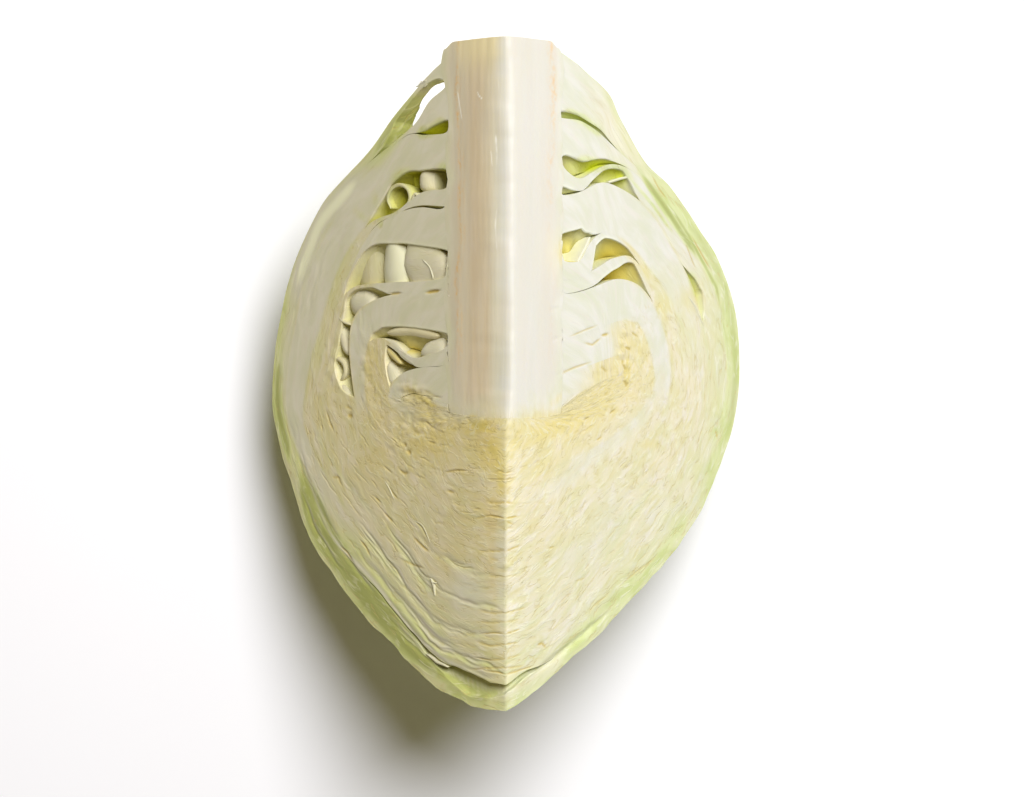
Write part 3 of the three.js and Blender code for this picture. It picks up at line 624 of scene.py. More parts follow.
# %% White tissue
paint("white", LEFT, [  # ribs and young flesh
    (2.4, 0.8, [(37, 78), (34, 83), (27, 84.4)]), (2, 0.7, [(24, 84), (12, 83.6), (4, 83)]),
    (4, 0.25, [(30, 105), (22, 110), (12, 112)]), (4.5, 0.3, [(36, 118), (24, 124), (10, 127)]),
    # painted highlight: the last stroke whitens the knife edge's facet, which faces the lamp
    (1.8, 0.8, [(1.4, 106), (1.4, 134)])], [
    (12, 124, 7, 5, 1.1), (30, 122, 6, 5, 0.35), (48, 104, 5, 8, 0.3), (16, 132, 8, 4, 0.4),
    (48, 33, 5, 2.4, 0.5, 40)])
paint("white", LEFT, [  # scratches in the stalk
    (0.35, 1.5, [(9.2, 11.4), (8.4, 12.8), (6.8, 13.8)]),
    (0.5, 1.35, [(15.6, 9.6), (14.6, 14.6), (13.5, 19.4)]),
    (0.8, 1.45, [(3.4, 19.6), (2.7, 26), (3, 33)]), (0.4, 1.3, [(4.8, 24), (4, 30)]),
    (0.7, 1.35, [(2.4, 35), (3.2, 42), (2.4, 50)]), (1, 1.2, [(2.2, 5), (2, 14)])])
# painted highlight: the strokes along the outermost leaf's rim whiten it where it rolls over towards the
# lamp
paint("white", LEFT, [  # the rims of the two outer leaves
    (0.6, 1.2, beside("leaf_02", LEFT, 6.4, 8.9, 0.7)), (3.4, 1.4, beside(OUTERMOST, LEFT, 2.5, 4.4, 3.4)),
    (2.2, 0.9, beside(OUTERMOST, LEFT, 3, 3.7, 2.2)), (1.8, 0.7, beside(OUTERMOST, LEFT, 3.9, 5.2, 4.4))])
paint("white", RIGHT, [
    (2.6, 0.55, [(51, 74), (46, 84), (34, 91), (18, 99), (8, 103)]),
    (4.5, 0.35, [(42, 104), (28, 114), (14, 120)])], [(32, 107, 8, 4, 0.4, -30)])

# %% Yellow of the heart, and golden walls of the hollows
paint("yellow", LEFT, [  # the heart below the stalk
    (1.6, 1, [(34, 77.6), (27, 80.4), (20, 82)]), (3, 0.75, [(26, 84), (14, 87), (4, 88)]),
    (1.4, 1, [(12, 86.6), (6, 87.4), (1, 88)]), (1.8, 1.5, [(13, 84.6), (9, 86.4), (4, 86.8)]),
    (2, 1.3, [(7, 90), (3, 92.4), (1, 97)]), (0.9, 1.5, [(33.4, 77.6), (28, 80), (21, 82.6)])], [
    (4, 92, 8, 6, 0.9), (24, 90, 14, 6, 0.75), (43, 95, 8, 5, 0.45), (44, 72, 4, 6, 0.6),
    (34, 70, 5, 2.5, 0.9, 35), (4, 103, 7, 2.5, 0.5), (5, 113, 7, 5, 0.3)])
paint("yellow", LEFT, [  # the knife edge, and the stalk's cut end, yellow and painted lighter where its rounded top faces the lamp
    (1.8, 1.25, [(1.2, 90), (1.2, 104)]), (1.4, 1, [(1.2, 110), (1.2, 113)]),
    # painted highlight: the broad stroke at v 1 lightens the stalk's rounded top end
    (1.6, 1.2, [(1.2, 117.6), (1.2, 122)]), (5.5, 0.9, [(0, 1), (17, 1)])])
paint("yellow", RIGHT, [(2, 0.6, [(12, 83), (17, 80.5), (24, 76)])], [
    (18, 86, 24, 4.5, 0.9, -12), (38, 68, 8, 7, 0.6), (39.5, 74, 2, 6, 1),
    (30, 80, 14, 5, 0.75, -20), (44, 72, 4, 7, 0.5), (10, 96, 14, 5, 0.5), (52, 59, 3, 4, 0.6, 40),
    (47, 91, 4, 1.5, 0.5)])
# painted light: golden blots on the walls of the right face's hollows stand in for light passing through
# the flesh
paint("yellow", RIGHT, blots=[  # walls of the hollows
    (23, 47.5, 7, 5, 1.4), (40, 52, 7, 4, 1.4), (62, 56, 4, 4, 1.2, 40), (21, 30, 3, 3, 1),
    (38, 46, 6, 4, 1.2)])

# %% Green skin on the left face
paint("green", LEFT, [  # the outermost leaf
    (3.8, 1.6, beside(OUTERMOST, LEFT, 0.8, 2.6, 2.2)), (1.8, 1.2, beside(OUTERMOST, LEFT, 2.6, 6, 0.8)),
    (1.6, 2, beside(OUTERMOST, LEFT, 4.6, 6, 2.2)), (3.8, 3, beside(OUTERMOST, LEFT, 5.6, 8.5, 4.6)),
    (3, 1.4, beside(OUTERMOST, LEFT, 8, 8.9, 2)),
    (3.6, 1.2, [(75, 86), (71.4, 98), (63.2, 112), (48.8, 124), (35.8, 133.8), (24, 140.6)])])
paint("green", LEFT, [  # skins of the next leaves
    (0.9, 1, beside("leaf_02", LEFT, 6.2, 8.2, 0.4)),
    (3, 1.8, [(30, 137.8), (21.8, 142), (9.6, 146), (0, 146.6)]),
    (3, 1.1, [(24, 8), (30, 14), (36, 20), (42, 25), (50, 28)]),
    (2.2, 0.4, [(62, 44), (55, 40), (52, 44), (60, 60), (66, 80)]),
    (3.4, 0.75, [(62, 104), (54, 112), (44, 120), (32, 129), (18, 136), (6, 140)]),
    (2, 0.5, [(56, 112), (44, 122), (34, 129)])])
paint("green", LEFT, [  # in and around the hollows
    (2, 1.5, [(18, 17), (24, 19.6), (30, 20)]), (2, 0.75, [(52, 35), (46, 39), (41, 38)]),
    (1.4, 1.2, [(41, 35), (41, 42)])], [
    (33, 31, 5, 4, 1.6), (36.5, 35, 4, 4, 1.1), (20, 30, 3.5, 3.5, 1.5), (42.5, 34.6, 2.6, 5, 0.75, 20),
    (52, 44, 5, 2.4, 0.45, 40), (60, 55, 2.4, 8, 0.4), (36, 24, 7, 2.2, 0.4, 20),
    (24, 38, 6, 2, 0.35)])

# %% Green skin on the right face
paint("green", RIGHT, [  # the outermost leaf
    (2.8, 1.4, beside(OUTERMOST, RIGHT, 2.7, 6.2, 1.6)),
    (2.6, 0.95, beside(OUTERMOST, RIGHT, 6, 8.7, 2)),
    (5, 0.5, beside(OUTERMOST, RIGHT, 6, 8.4, 5)),
    (2.4, 1.15, [(60, 38), (66, 44), (71, 52), (75, 62), (76.5, 76), (73, 90), (66, 102), (56, 112)]),
    (2, 0.9, [(56, 112), (44, 121), (30, 130), (12, 140), (2, 143)])])
paint("green", RIGHT, [  # thin bright skins near the rim
    (1.3, 1.9, [(41.7, 25.7), (54.5, 37.4), (66.8, 49.5)]),
    (0.9, 1.7, [(50, 31), (61, 42), (71, 54), (74, 64)]), (0.7, 1.2, [(38, 27.6), (48, 35), (57, 43)]),
    (1.2, 1.3, [(72, 58), (75, 68), (76, 80)]), (1.8, 1.2, [(61, 50), (65, 57)]),
    (3, 1, [(71, 86), (71, 95)]), (2.4, 1.1, [(40, 24), (50, 31), (60, 38)])])
paint("green", RIGHT, [  # walls of the two upper hollows
    (1.6, 1.3, [(17, 15), (25, 17), (33, 21)]), (2.2, 1.4, [(20, 26), (28, 27), (38, 28), (44, 31)]),
    (1.6, 0.6, [(28, 25), (38, 25.6), (46, 30)])])
paint("green", RIGHT, [  # a faint green over the outer leaves
    (5.6, 0.55, [(44, 24), (58, 35), (68, 48), (73.6, 62), (75, 78), (71, 92), (63, 104), (52, 115)]),
    (4, 0.6, [(52, 115), (40, 124), (26, 133), (12, 141)]), (5, 0.3, [(52, 50), (60, 62), (64, 78)])],
    [(52, 108, 7, 5, 0.5, -35), (40, 118, 6, 4, 0.4, -30)])

# %% Browned tissue, and painted shade in one hollow
paint("brown", LEFT, [
    (3, 0.8, [(3, 85), (6, 90), (3, 96)]), (0.9, 0.9, [(7.5, 62), (8, 70), (4.6, 80), (2.6, 84)]),
    (3, 0.7, [(4, 97), (4.5, 110), (4, 121), (4, 127)]), (6, 0.4, [(10, 105), (18, 112), (20, 124)]),
    (4.5, 0.35, [(40, 90), (46, 98), (40, 104)])], [
    # painted shade: two dark blots in the deep hollow under the third leaf
    (34, 31.6, 4.5, 2.6, 1.5), (21.2, 30.4, 1.6, 2.2, 1)])
paint("brown", RIGHT, [(5, 0.3, [(6, 106), (16, 112)])])

# %% Crinkles of the youngest leaves
paint("crinkle", LEFT, [(2.2, 1, [(35, 77), (29, 79.6), (22, 82)])], [
    (26, 86, 14, 3.5, 0.6), (45, 73, 3, 5, 0.5), (34, 91, 5, 3, 0.6), (57, 75, 3, 8, 0.5)])
paint("crinkle", RIGHT, [(2.4, 1, [(38.6, 64), (39, 78)])], [
    (30, 78, 12, 4, 0.5, -20), (44, 69, 4, 6, 0.5), (20, 84, 12, 3, 0.4)])
print("relief from %.1f to %.1f mm" % (MAPS["relief"][LEFT].min(), MAPS["relief"][LEFT].max()))

# %% [markdown]
# ## A leaf as a slab
# A leaf in the wedge is a slab: long from the stalk to the tip, thin across, and as wide as the
# wedge is from one cut face to the other. It could be a surface with a Solidify modifier, but then
# its thickness could not differ from place to place. So it starts as a flat grid, which is the cut
# edge seen on the left face, is extruded to the right face, and is then bent into its place by
# formula. Its rim keeps a sharp edge, as the knife leaves it.

# %% Flat slab
SLAB_STEP = 0.56                                     # mm along a leaf
SLAB_CROSS = 0.3                                     # mm across a cut edge


def flat_slab(nt, nh, na):
    """A unit slab with nt steps along x, nh through y and na across z, sharp at its two cut faces."""
    bm = bmesh.new()
    bmesh.ops.create_grid(bm, x_segments=nt, y_segments=nh, size=0.5)
    bmesh.ops.translate(bm, verts=bm.verts, vec=(0.5, 0.5, 0.0))
    made = bmesh.ops.extrude_face_region(bm, geom=bm.faces[:], use_keep_orig=True)
    lid = [item for item in made["geom"] if isinstance(item, bmesh.types.BMVert)]
    bmesh.ops.translate(bm, verts=lid, vec=(0.0, 0.0, 1.0))
    risers = [e for e in bm.edges if abs(e.verts[0].co.z - e.verts[1].co.z) > 0.5]
    bmesh.ops.subdivide_edges(bm, edges=risers, cuts=na - 1, use_grid_fill=True)
    bmesh.ops.recalc_face_normals(bm, faces=bm.faces)
    for edge in bm.edges:
        on_rim = {abs(round(f.normal.z)) for f in edge.link_faces} == {0, 1}
        edge.smooth = not on_rim
    for face in bm.faces:
        face.smooth = True
    return bm


def mesh_of(bm, name):
    """The mesh made from a bmesh, and the x, y and z of its vertices."""
    mesh = bpy.data.meshes.new(name)
    bm.to_mesh(mesh)
    bm.free()
    flat = np.empty(len(mesh.vertices) * 3)
    mesh.vertices.foreach_get("co", flat)
    return mesh, *flat.reshape(-1, 3).T


def close_up(mesh, extras=()):
    """Join more meshes to a mesh, merge its doubles and turn its faces outwards."""
    bm = bmesh.new()
    for one in (mesh, *extras):
        bm.from_mesh(one)
    bmesh.ops.remove_doubles(bm, verts=bm.verts, dist=1e-6)
    bmesh.ops.recalc_face_normals(bm, faces=bm.faces)
    bm.to_mesh(mesh)
    bm.free()


def give(mesh, name, values):
    """Store one value or vector per vertex for the materials."""
    kind = "FLOAT" if values.ndim == 1 else "FLOAT_VECTOR"
    layer = mesh.attributes.new(name, kind, "POINT")
    layer.data.foreach_set("value" if values.ndim == 1 else "vector", values.astype(np.float32).ravel())


sample = flat_slab(4, 2, 3)
print("a slab of 4 by 2 by 3 steps has", len(sample.faces), "faces")
sample.free()

# %% Rows across a slab
NEAR_FACE = 2.3                                      # how closely rows crowd towards the faces


def azimuth_of(z):
    """Rows of a slab lie close together near the cut faces, where they are seen."""
    near = 0.5 * (2.0 * np.minimum(z, 1.0 - z)) ** NEAR_FACE
    return (np.where(z < 0.5, near, 1.0 - near) * 2.0 - 1.0) * HALF_ANGLE


def row_of(azimuth):
    """Where across a slab an azimuth in degrees lies; the reverse of azimuth_of."""
    share = azimuth / math.degrees(HALF_ANGLE)
    z = 0.5 * max(1.0 - abs(share), 0.0) ** (1.0 / NEAR_FACE)
    return z if share < 0.0 else 1.0 - z


print("row 0.1 lies at %.1f degrees" % math.degrees(azimuth_of(np.array([0.1]))[0]))

# %% [markdown]
# ## The torn window
# The outermost leaf is torn open beside the stalk, and light falls through the hole. A boolean cut
# would leave a clean edge and long thin faces. Here the faces inside a given outline are taken
# out of the flat slab, the two rims are bridged, and the new rim is pulled onto the outline with a
# ragged noise, as a tear runs between veins.

# %% Tools for the torn window
WINDOW = [                                           # (v, azimuth in degrees)
    (4.9, -34), (6.6, -37.6), (8.4, -39.4), (11, -39.2), (14.5, -37.0), (18.2, -34.6), (20.2, -31),
    (17, -20), (12, -14), (7, -12), (4.9, -14)]


def inside_outline(outline, x, y):
    """Whether a point lies inside a closed outline of (x, y)."""
    hit = False
    for (x0, y0), (x1, y1) in zip(outline, outline[1:] + outline[:1]):
        if (y0 > y) != (y1 > y) and x < x0 + (y - y0) / (y1 - y0) * (x1 - x0):
            hit = not hit
    return hit


def nearest_on(outline, x, y):
    """The place on a closed outline that lies nearest to a point."""
    best = None
    for (x0, y0), (x1, y1) in zip(outline, outline[1:] + outline[:1]):
        u = ((x - x0) * (x1 - x0) + (y - y0) * (y1 - y0)) / ((x1 - x0) ** 2 + (y1 - y0) ** 2)
        u = min(max(u, 0.0), 1.0)
        spot = (x0 + u * (x1 - x0), y0 + u * (y1 - y0))
        far = math.hypot(spot[0] - x, spot[1] - y)
        if best is None or far < best[0]:
            best = (far, spot)
    return best[1]


def tear_window(bm, outline, xs, vs):
    """Open a hole through a slab where (v, azimuth in degrees) falls inside the outline."""
    lost = []
    for face in bm.faces:
        middle = face.calc_center_median()
        if abs(face.normal.y) < 0.5:
            continue
        azimuth = math.degrees(azimuth_of(np.array([middle.z]))[0])
        if inside_outline(outline, np.interp(middle.x, xs, vs), azimuth):
            lost.append(face)
    bmesh.ops.delete(bm, geom=lost, context="FACES")
    rim = [edge for edge in bm.edges if edge.is_boundary]
    bmesh.ops.bridge_loops(bm, edges=rim)
    lip = list({vert for edge in rim for vert in edge.verts})
    for vert in lip:
        azimuth = math.degrees(azimuth_of(np.array([vert.co.z]))[0])
        v, azimuth = nearest_on(outline, np.interp(vert.co.x, xs, vs), azimuth)
        ragged = 0.5 * noise(np.array([[v, azimuth]]), 1.6, 79)[0]
        vert.co.x = np.interp(v + 0.4 * ragged, vs, xs)
        vert.co.z = row_of(azimuth + ragged)
    for _ in range(2):
        bmesh.ops.smooth_vert(bm, verts=lip, factor=0.5, use_axis_x=True, use_axis_y=False, use_axis_z=True)
    print("torn window:", len(lost), "faces out,", len(lip), "places along its rim")


print("window from %.1f to %.1f mm below the stalk's end" % (min(WINDOW)[0], max(WINDOW)[0]))

# %% [markdown]
# ## Bending a slab into its place
# A place in a leaf is a point (s, v) in a section through the middle line, turned about that line
# to an azimuth. The knife edge is not quite sharp: it was shaved off to a narrow facet, and a
# growing head is never even, so one soft warp runs through all leaves at once and they still fit.

# %% The knife edge
BLUNT = [                                            # v, width of the facet to the left and right
    (0, 3.0, 1.8), (8, 3.8, 2.2), (20, 4.8, 2.6), (45, 5.2, 2.4), (60, 6.4, 2.4), (78, 7.0, 2.4),
    (86, 4.4, 1.8), (92, 3.4, 1.5), (105, 3.4, 1.5), (116, 4.0, 1.6), (124, 3.8, 1.6), (134, 3.0, 1.4),
    (151, 2.4, 1.2)]
EDGE_SOFT = 0.9


def along_edge(v, size, seed):
    """Noise that changes only along the knife edge."""
    return noise(np.stack([v, 0 * v], axis=1), size, seed, 3)


def place(s, v, a):
    """World millimetres of a section point turned to azimuth a, with the knife edge blunted."""
    x = s * np.sin(a)
    z = -s * np.cos(a)
    wobble = 1.0 + 0.28 * along_edge(v, 8.0, 71)
    soften = EDGE_SOFT + 0.7 * smooth(v, 84.0, 92.0)
    left = at(BLUNT, v, 1) * wobble * SLOPE
    ragged = (0.1 + 0.5 * smooth(v, 84.0, 92.0)) * along_edge(v, 5.0, 73)
    right = at(BLUNT, v, 2) * (1.0 + ragged) * SLOPE
    chord = -left + (x + left) * (left - right) / (left + right)
    face = -np.abs(x)
    top = -soften * np.logaddexp(-face / soften, -chord / soften)
    z = z - (face - top) * np.exp(-(face - z) / 3.0)
    return np.stack([EDGE_X + x, STALK_Y - v, EDGE_Z + z], axis=1)


def blend_of(s, v, w):
    """Share of the right face's look; at the knife edge the two looks run into each other raggedly."""
    x = s * np.sin((2.0 * w - 1.0) * HALF_ANGLE)
    shift = 0.5 + 1.2 * along_edge(v, 4.0, 75)
    edge = smooth(x + shift, -2.4, 2.4)
    far = smooth(s, 3.0, 8.0)
    return w * far + edge * (1.0 - far)


v_steps = np.linspace(0.0, 150.0, 7)
blunted = -(place(0 * v_steps, v_steps, 0 * v_steps)[:, 2] - EDGE_Z)
print("knife edge blunted by %.1f to %.1f mm" % (blunted.min(), blunted.max()))

# %% Growth
def crumple(points):
    """Growing leaves are never quite even: one soft warp of the whole head, finer at the tip."""
    tip = smooth(STALK_Y - points[:, 1], 85.0, 115.0)
    ds = 0.5 * noise(points, 13.0, 3, 2) + 0.55 * tip * noise(points, 5.2, 4, 2)
    dv = 0.5 * noise(points, 13.0, 11, 2) + 0.55 * tip * noise(points, 5.2, 12, 2)
    return ds, dv


def sway(side, along, inside):
    """Leaves packed in a bud are puckered: the layers wander about their general run."""
    spot = np.stack([along, inside], axis=1)
    aside = 1.1 * noise(spot, (9.0, 6.0), 91 + side, 2) + 0.45 * noise(spot, (3.6, 3.0), 93 + side)
    onward = 1.6 * noise(spot, (7.0, 5.0), 95 + side)
    return along + onward, inside + aside


print("leaves wander up to %.1f mm" % np.abs(crumple(place(v_steps, v_steps, 0 * v_steps))).max())

# %% [markdown]
# ## Relief of the cut faces
# What the maps hold is pressed into the slabs from each cut face, and fades a few millimetres
# inwards. Displacement in the material could do this too, but real geometry casts true shadows in
# the slits.

# %% Ridges and sinking
RELIEF_REACH = 2.6                                   # mm inwards until the cut's relief fades
RIM_RADIUS = 0.35


def ridges(side, along, depth, s, v):
    """Soft ridges that follow the leaves, and the crinkles of the youngest leaves."""
    spot = np.stack([along, depth], axis=1)
    crinkle = face_map("crinkle", side, s, v) * noise(np.stack([s, v], axis=1), (2.2, 1.3), 81 + side, 2)
    patchy = 0.2 + 0.8 * smooth(noise(spot, (15.0, 7.0), 51 + side), -0.3, 0.6)
    soft = (0.14, 0.09)[side] * noise(spot, (8.0, 2.4), 21 + side, 2)
    fine = (0.05, 0.03)[side] * noise(spot, (3.2, 0.8), 31 + side, 2)
    return (soft + fine) * patchy + (0.5, 0.28)[side] * crinkle


def rim_drop(h, thick, gap):
    """Cut edges that border a hollow are rounded over."""
    inner = np.clip(1.0 - (1.0 - h) * thick / RIM_RADIUS, 0.0, 1.0) * smooth(gap, 0.2, 1.2)
    return RIM_RADIUS * (1.0 - np.sqrt(1.0 - inner ** 2))


def reach_of(s, a):
    """How far places lie behind the left and the right cut face, in millimetres."""
    return s * np.sin(a + HALF_ANGLE), s * np.sin(HALF_ANGLE - a)


def sink(spot, drop_left, drop_right, share=1.0):
    """Press world places straight into the two cut faces."""
    spot[:, 0] += (SLOPE * drop_left - SLOPE * drop_right) * share
    spot[:, 2] -= (SLOPE * drop_left + SLOPE * drop_right) * share


print("a rim beside a hollow drops by %.2f mm" % rim_drop(np.ones(1), np.ones(1), np.ones(1) * 2.0)[0])

# %% The woody core on the cut faces
def core_share(side, s, v):
    """How far a place on a cut face belongs to the woody core rather than to the leaves."""
    spot = np.stack([s, v], axis=1)
    rim = at(STALK_SIDE[side], v, 1) - 1.7 + 1.0 * noise(spot, (3.0, 6.0), 63 + side, 2)
    end = (82.4 - 0.12 * np.maximum(s - 6.0, 0.0), 83.4 - 0.6 * np.maximum(s - 5.0, 0.0))[side]
    end = end + 1.8 * noise(spot, (4.0, 4.0), 65 + side, 2)
    return (1.0 - smooth(s, rim - 1.6, rim + 1.2)) * (1.0 - smooth(v, end - 3.4, end + 2.6))


def stalk_fade(s, v, look):
    """The stalk's whiteness, which fades raggedly into the heart below its end."""
    ragged = v + 1.8 * noise(np.stack([s, v], axis=1), (4.0, 3.0), 69, 2) - look
    return 0.85 * (1.0 - smooth(ragged, 79.5, 86.0))


def core_of(s, v, w):
    """Per vertex: share of woody core, its tan shade, and the tough ring that shows as a line."""
    spot = np.stack([v, s], axis=1)
    drift = noise(spot, (22.0, 3.0), 61, 2)
    share = core_share(LEFT, s, v) * (1.0 - w) + core_share(RIGHT, s, v) * w
    left_tan = 0.35 * smooth(s, 2.5, 6.0) + 0.55 * np.exp(-((s - 9.5 + 2 * drift) / 3.6) ** 2)
    left_tan = left_tan + 0.25 * np.exp(-((s - 6.2) / 1.2) ** 2) * smooth(v, 44.0, 62.0)
    right_tan = 0.10 + 0.2 * drift
    tan = np.clip(left_tan * (1.0 - w) + right_tan * w, 0, 1)
    middle = 15.0 + 0.5 * np.sin(v / 8.0) + 0.8 * along_edge(v, 6.0, 62)
    broken = 0.3 + 0.9 * smooth(noise(spot, (3.0, 2.0), 67, 3), -0.4, 0.5)
    left_ring = np.exp(-((s - middle) / 0.55) ** 2) + 0.5 * np.exp(-((s - middle + 1.3) / 0.4) ** 2)
    left_ring = left_ring * (1.0 - smooth(v, 66, 80))
    right_ring = np.exp(-((s - middle + 0.4) / 1.3) ** 2) * (0.15 + 0.7 * (1.0 - smooth(v, 10, 46)))
    ring = (left_ring * (1.0 - w) + right_ring * w) * broken
    return np.stack([share, tan, ring], axis=1)


s_steps = np.linspace(0.0, 30.0, 301)
core_width = s_steps[core_share(LEFT, s_steps, 0 * s_steps + 40.0) > 0.5].max()
print("woody core reaches %.1f mm from the middle line on the left" % core_width)

# %% [markdown]
# ## Curled edges inside the hollows
# The hollows are not clean: edges of young leaves curl into them. Each is a thin slab of its own,
# drawn on the cut face as a line of places (s, v, thickness), going in from the face by its reach.
# A crown rounds its top where the knife missed it, sink is how far below the face it starts, and
# lean is how it drifts with depth. Green, yellow and white say what it is made of. A curl belongs
# to the leaf that it grows on and is joined to its mesh.

# %% Tools for curls
CURLS = []


def curl(owner, side, line, reach, sink=0.2, crown=0.2, lean=(0, 0), green=0.0, yellow=0.1, white=0.1):
    """Note one curl: its line of (s, v, width), how deep it reaches, and what it is made of."""
    CURLS.append(dict(owner=owner, side=side, line=line, reach=reach, sink=sink, crown=crown,
                      lean=lean, green=green, yellow=yellow, white=white))


def on_face(side, s, v, deep):
    """World millimetres of a point that lies a given depth behind a cut face."""
    x = EDGE_X + (-1, 1)[side] * (s - deep) * SLOPE
    return np.stack([x, STALK_Y - v, EDGE_Z - (s + deep) * SLOPE], axis=1)


def curl_outline(row, x, h, z):
    """Where a curl's vertices lie on its cut face and how deep, as s, v and depth."""
    line = np.array(row["line"], float)
    lengths = np.concatenate([[0.0], np.cumsum(np.hypot(*np.diff(line[:, :2], axis=0).T))])
    rows = np.column_stack([lengths, line])
    here = read_rows(rows, x * lengths[-1])
    ahead = read_rows(rows, np.minimum(x * lengths[-1] + 0.05, lengths[-1]))
    behind = read_rows(rows, np.maximum(x * lengths[-1] - 0.05, 0.0))
    run = (ahead - behind)[:, :2]
    run /= np.maximum(np.hypot(*run.T), 1e-9)[:, None]
    ends = np.sqrt(np.clip(1.0 - np.abs(2.0 * x - 1.0) ** 8, 0.02, 1.0))
    across = (h - 0.5) * here[:, 2] * ends
    deep = row["sink"] + z * row["reach"]
    deep += row["crown"] * ((2 * h - 1) ** 2 + np.abs(2 * x - 1) ** 4) * (1.0 - z)
    s = here[:, 0] - run[:, 1] * across + row["lean"][0] * z * row["reach"]
    v = here[:, 1] + run[:, 0] * across + row["lean"][1] * z * row["reach"]
    return s, v, deep, np.stack([x * lengths[-1] * 0.1, h * here[:, 2] * 0.1], axis=1)


def curl_mesh(row):
    """The mesh of one curl, bent with the leaves around it and pressed by the same relief."""
    line = np.array(row["line"], float)
    length = np.cumsum(np.hypot(*np.diff(line[:, :2], axis=0).T))[-1]
    nt = max(8, int(length / 0.35))
    nh = max(3, int(line[:, 2].max() / 0.4))
    na = max(5, int(row["reach"] / 0.6))
    mesh, x, h, z = mesh_of(flat_slab(nt, nh, na), "curl")
    side = row["side"]
    s, v, deep, flow = curl_outline(row, x, h, z)
    spot = on_face(side, s, v, deep)
    ds, dv = crumple(spot)
    s = s + ds + 0.2 * noise(spot, 5.0, 5, 2)
    v = v + dv + 0.2 * noise(spot, 5.0, 8, 2)
    deep = deep + 0.5 * np.clip(face_map("relief", side, s, v), 0, 1) * (1.0 - z)
    mesh.vertices.foreach_set("co", (on_face(side, s, v, deep) * MM).ravel())
    ones = np.ones_like(s)
    give(mesh, "flow", np.column_stack([flow, side * ones]))
    give(mesh, "make", np.stack([row["white"] * ones, row["green"] * ones, row["yellow"] * ones], axis=1))
    give(mesh, "cut", np.stack([np.exp(-z * row["reach"] / 1.8), 0 * s, 0 * s], axis=1))
    give(mesh, "core", np.zeros((len(s), 3)))
    return mesh


# %% Left face: rolled edge, white post and notch under the third leaf
curl("leaf_04", LEFT, [(39.6, 39.6, 0.5), (36.4, 38.4, 0.8), (33, 37, 0.9), (31.2, 34.6, 0.9),
     (31.9, 32.4, 0.8), (34.4, 31.3, 0.8), (37.2, 32.2, 0.8), (38.6, 34.4, 0.8), (37.6, 36.6, 0.5)],
     reach=4.5, sink=0, lean=(0.1, 0), green=0.75)
curl("leaf_04", LEFT, [(27, 28, 4.6), (27, 30.6, 4.8), (27.2, 33.4, 4.6)], reach=8, sink=0.5,
     crown=1.3, green=0.1, white=0.7)
curl("leaf_04", LEFT, [(30.8, 35.2, 0.7), (29.4, 33.6, 0.6), (28, 35.4, 0.7)], reach=3, sink=0,
     green=0.3, yellow=0.2, white=0.5)
print(len(CURLS), "curls so far")

# %% Left face: lump, bulge, oval fold and its flake in the wide hollow
curl("leaf_06", LEFT, [(46.8, 43.6, 6), (46.4, 49, 8.8), (45.4, 54.8, 9)], reach=6, sink=1.3,
     crown=0.9, lean=(-0.1, 0), green=0.35, yellow=0.4, white=0.45)
curl("leaf_06", LEFT, [(37.6, 42.8, 6.4), (37.4, 47, 7.2), (37, 51.4, 8.6), (35.6, 56, 8.6)],
     reach=7, sink=0.1, crown=1.3, lean=(-0.1, 0), yellow=0.05, white=1.3)
curl("leaf_06", LEFT, [(33.8, 49.8, 9), (30.4, 49.4, 10.6), (26.4, 49.8, 10.4), (22, 51, 7.6),
     (19, 51.6, 5)], reach=8, sink=0.1, crown=0.7, yellow=0.15, white=0.75)
curl("leaf_06", LEFT, [(27, 48.6, 0.3), (25.8, 49.4, 0.5), (24.4, 50.6, 0.4), (23.6, 52.4, 0.5),
     (23.4, 53.2, 0.3)], reach=1, sink=-0.08, white=0.9)
curl("leaf_06", LEFT, [(52.8, 56.6, 4), (50.4, 57.8, 6.4), (46.6, 57.8, 5.6), (44.2, 56.8, 3)],
     reach=6, sink=0.4, crown=1.1, lean=(-0.1, 0), yellow=0.05, white=0.9)
print(len(CURLS), "curls so far")

# %% Left face: curls in the narrow outer hollow
curl("leaf_06", LEFT, [(55.6, 61.2, 0.5), (53.6, 62.4, 0.6), (51.2, 63.2, 0.5)], reach=2, sink=-0.1,
     green=0.1, yellow=0.3, white=0.5)
curl("leaf_06", LEFT, [(56.2, 62.4, 1.6), (55.2, 65, 2.8), (53.8, 68.4, 2.8), (52.4, 70.6, 1.4)],
     reach=6, sink=0.25, crown=0.7, lean=(-0.2, 0), green=0.1, yellow=0.2, white=0.7)
curl("leaf_06", LEFT, [(58, 71, 1), (55.8, 71.2, 1.2), (54.2, 72.6, 1.4), (54, 74.6, 1.3),
     (55.6, 76.4, 1)], reach=5, crown=0.4, lean=(-0.1, 0), green=0.15, yellow=0.4, white=0.5)
curl("leaf_06", LEFT, [(56.6, 77.6, 1.4), (54.6, 78.6, 2.6), (52.4, 81, 2.4), (51.4, 83, 1.2)],
     reach=4, crown=0.6, green=0.1, yellow=0.3, white=0.7)
print(len(CURLS), "curls so far")

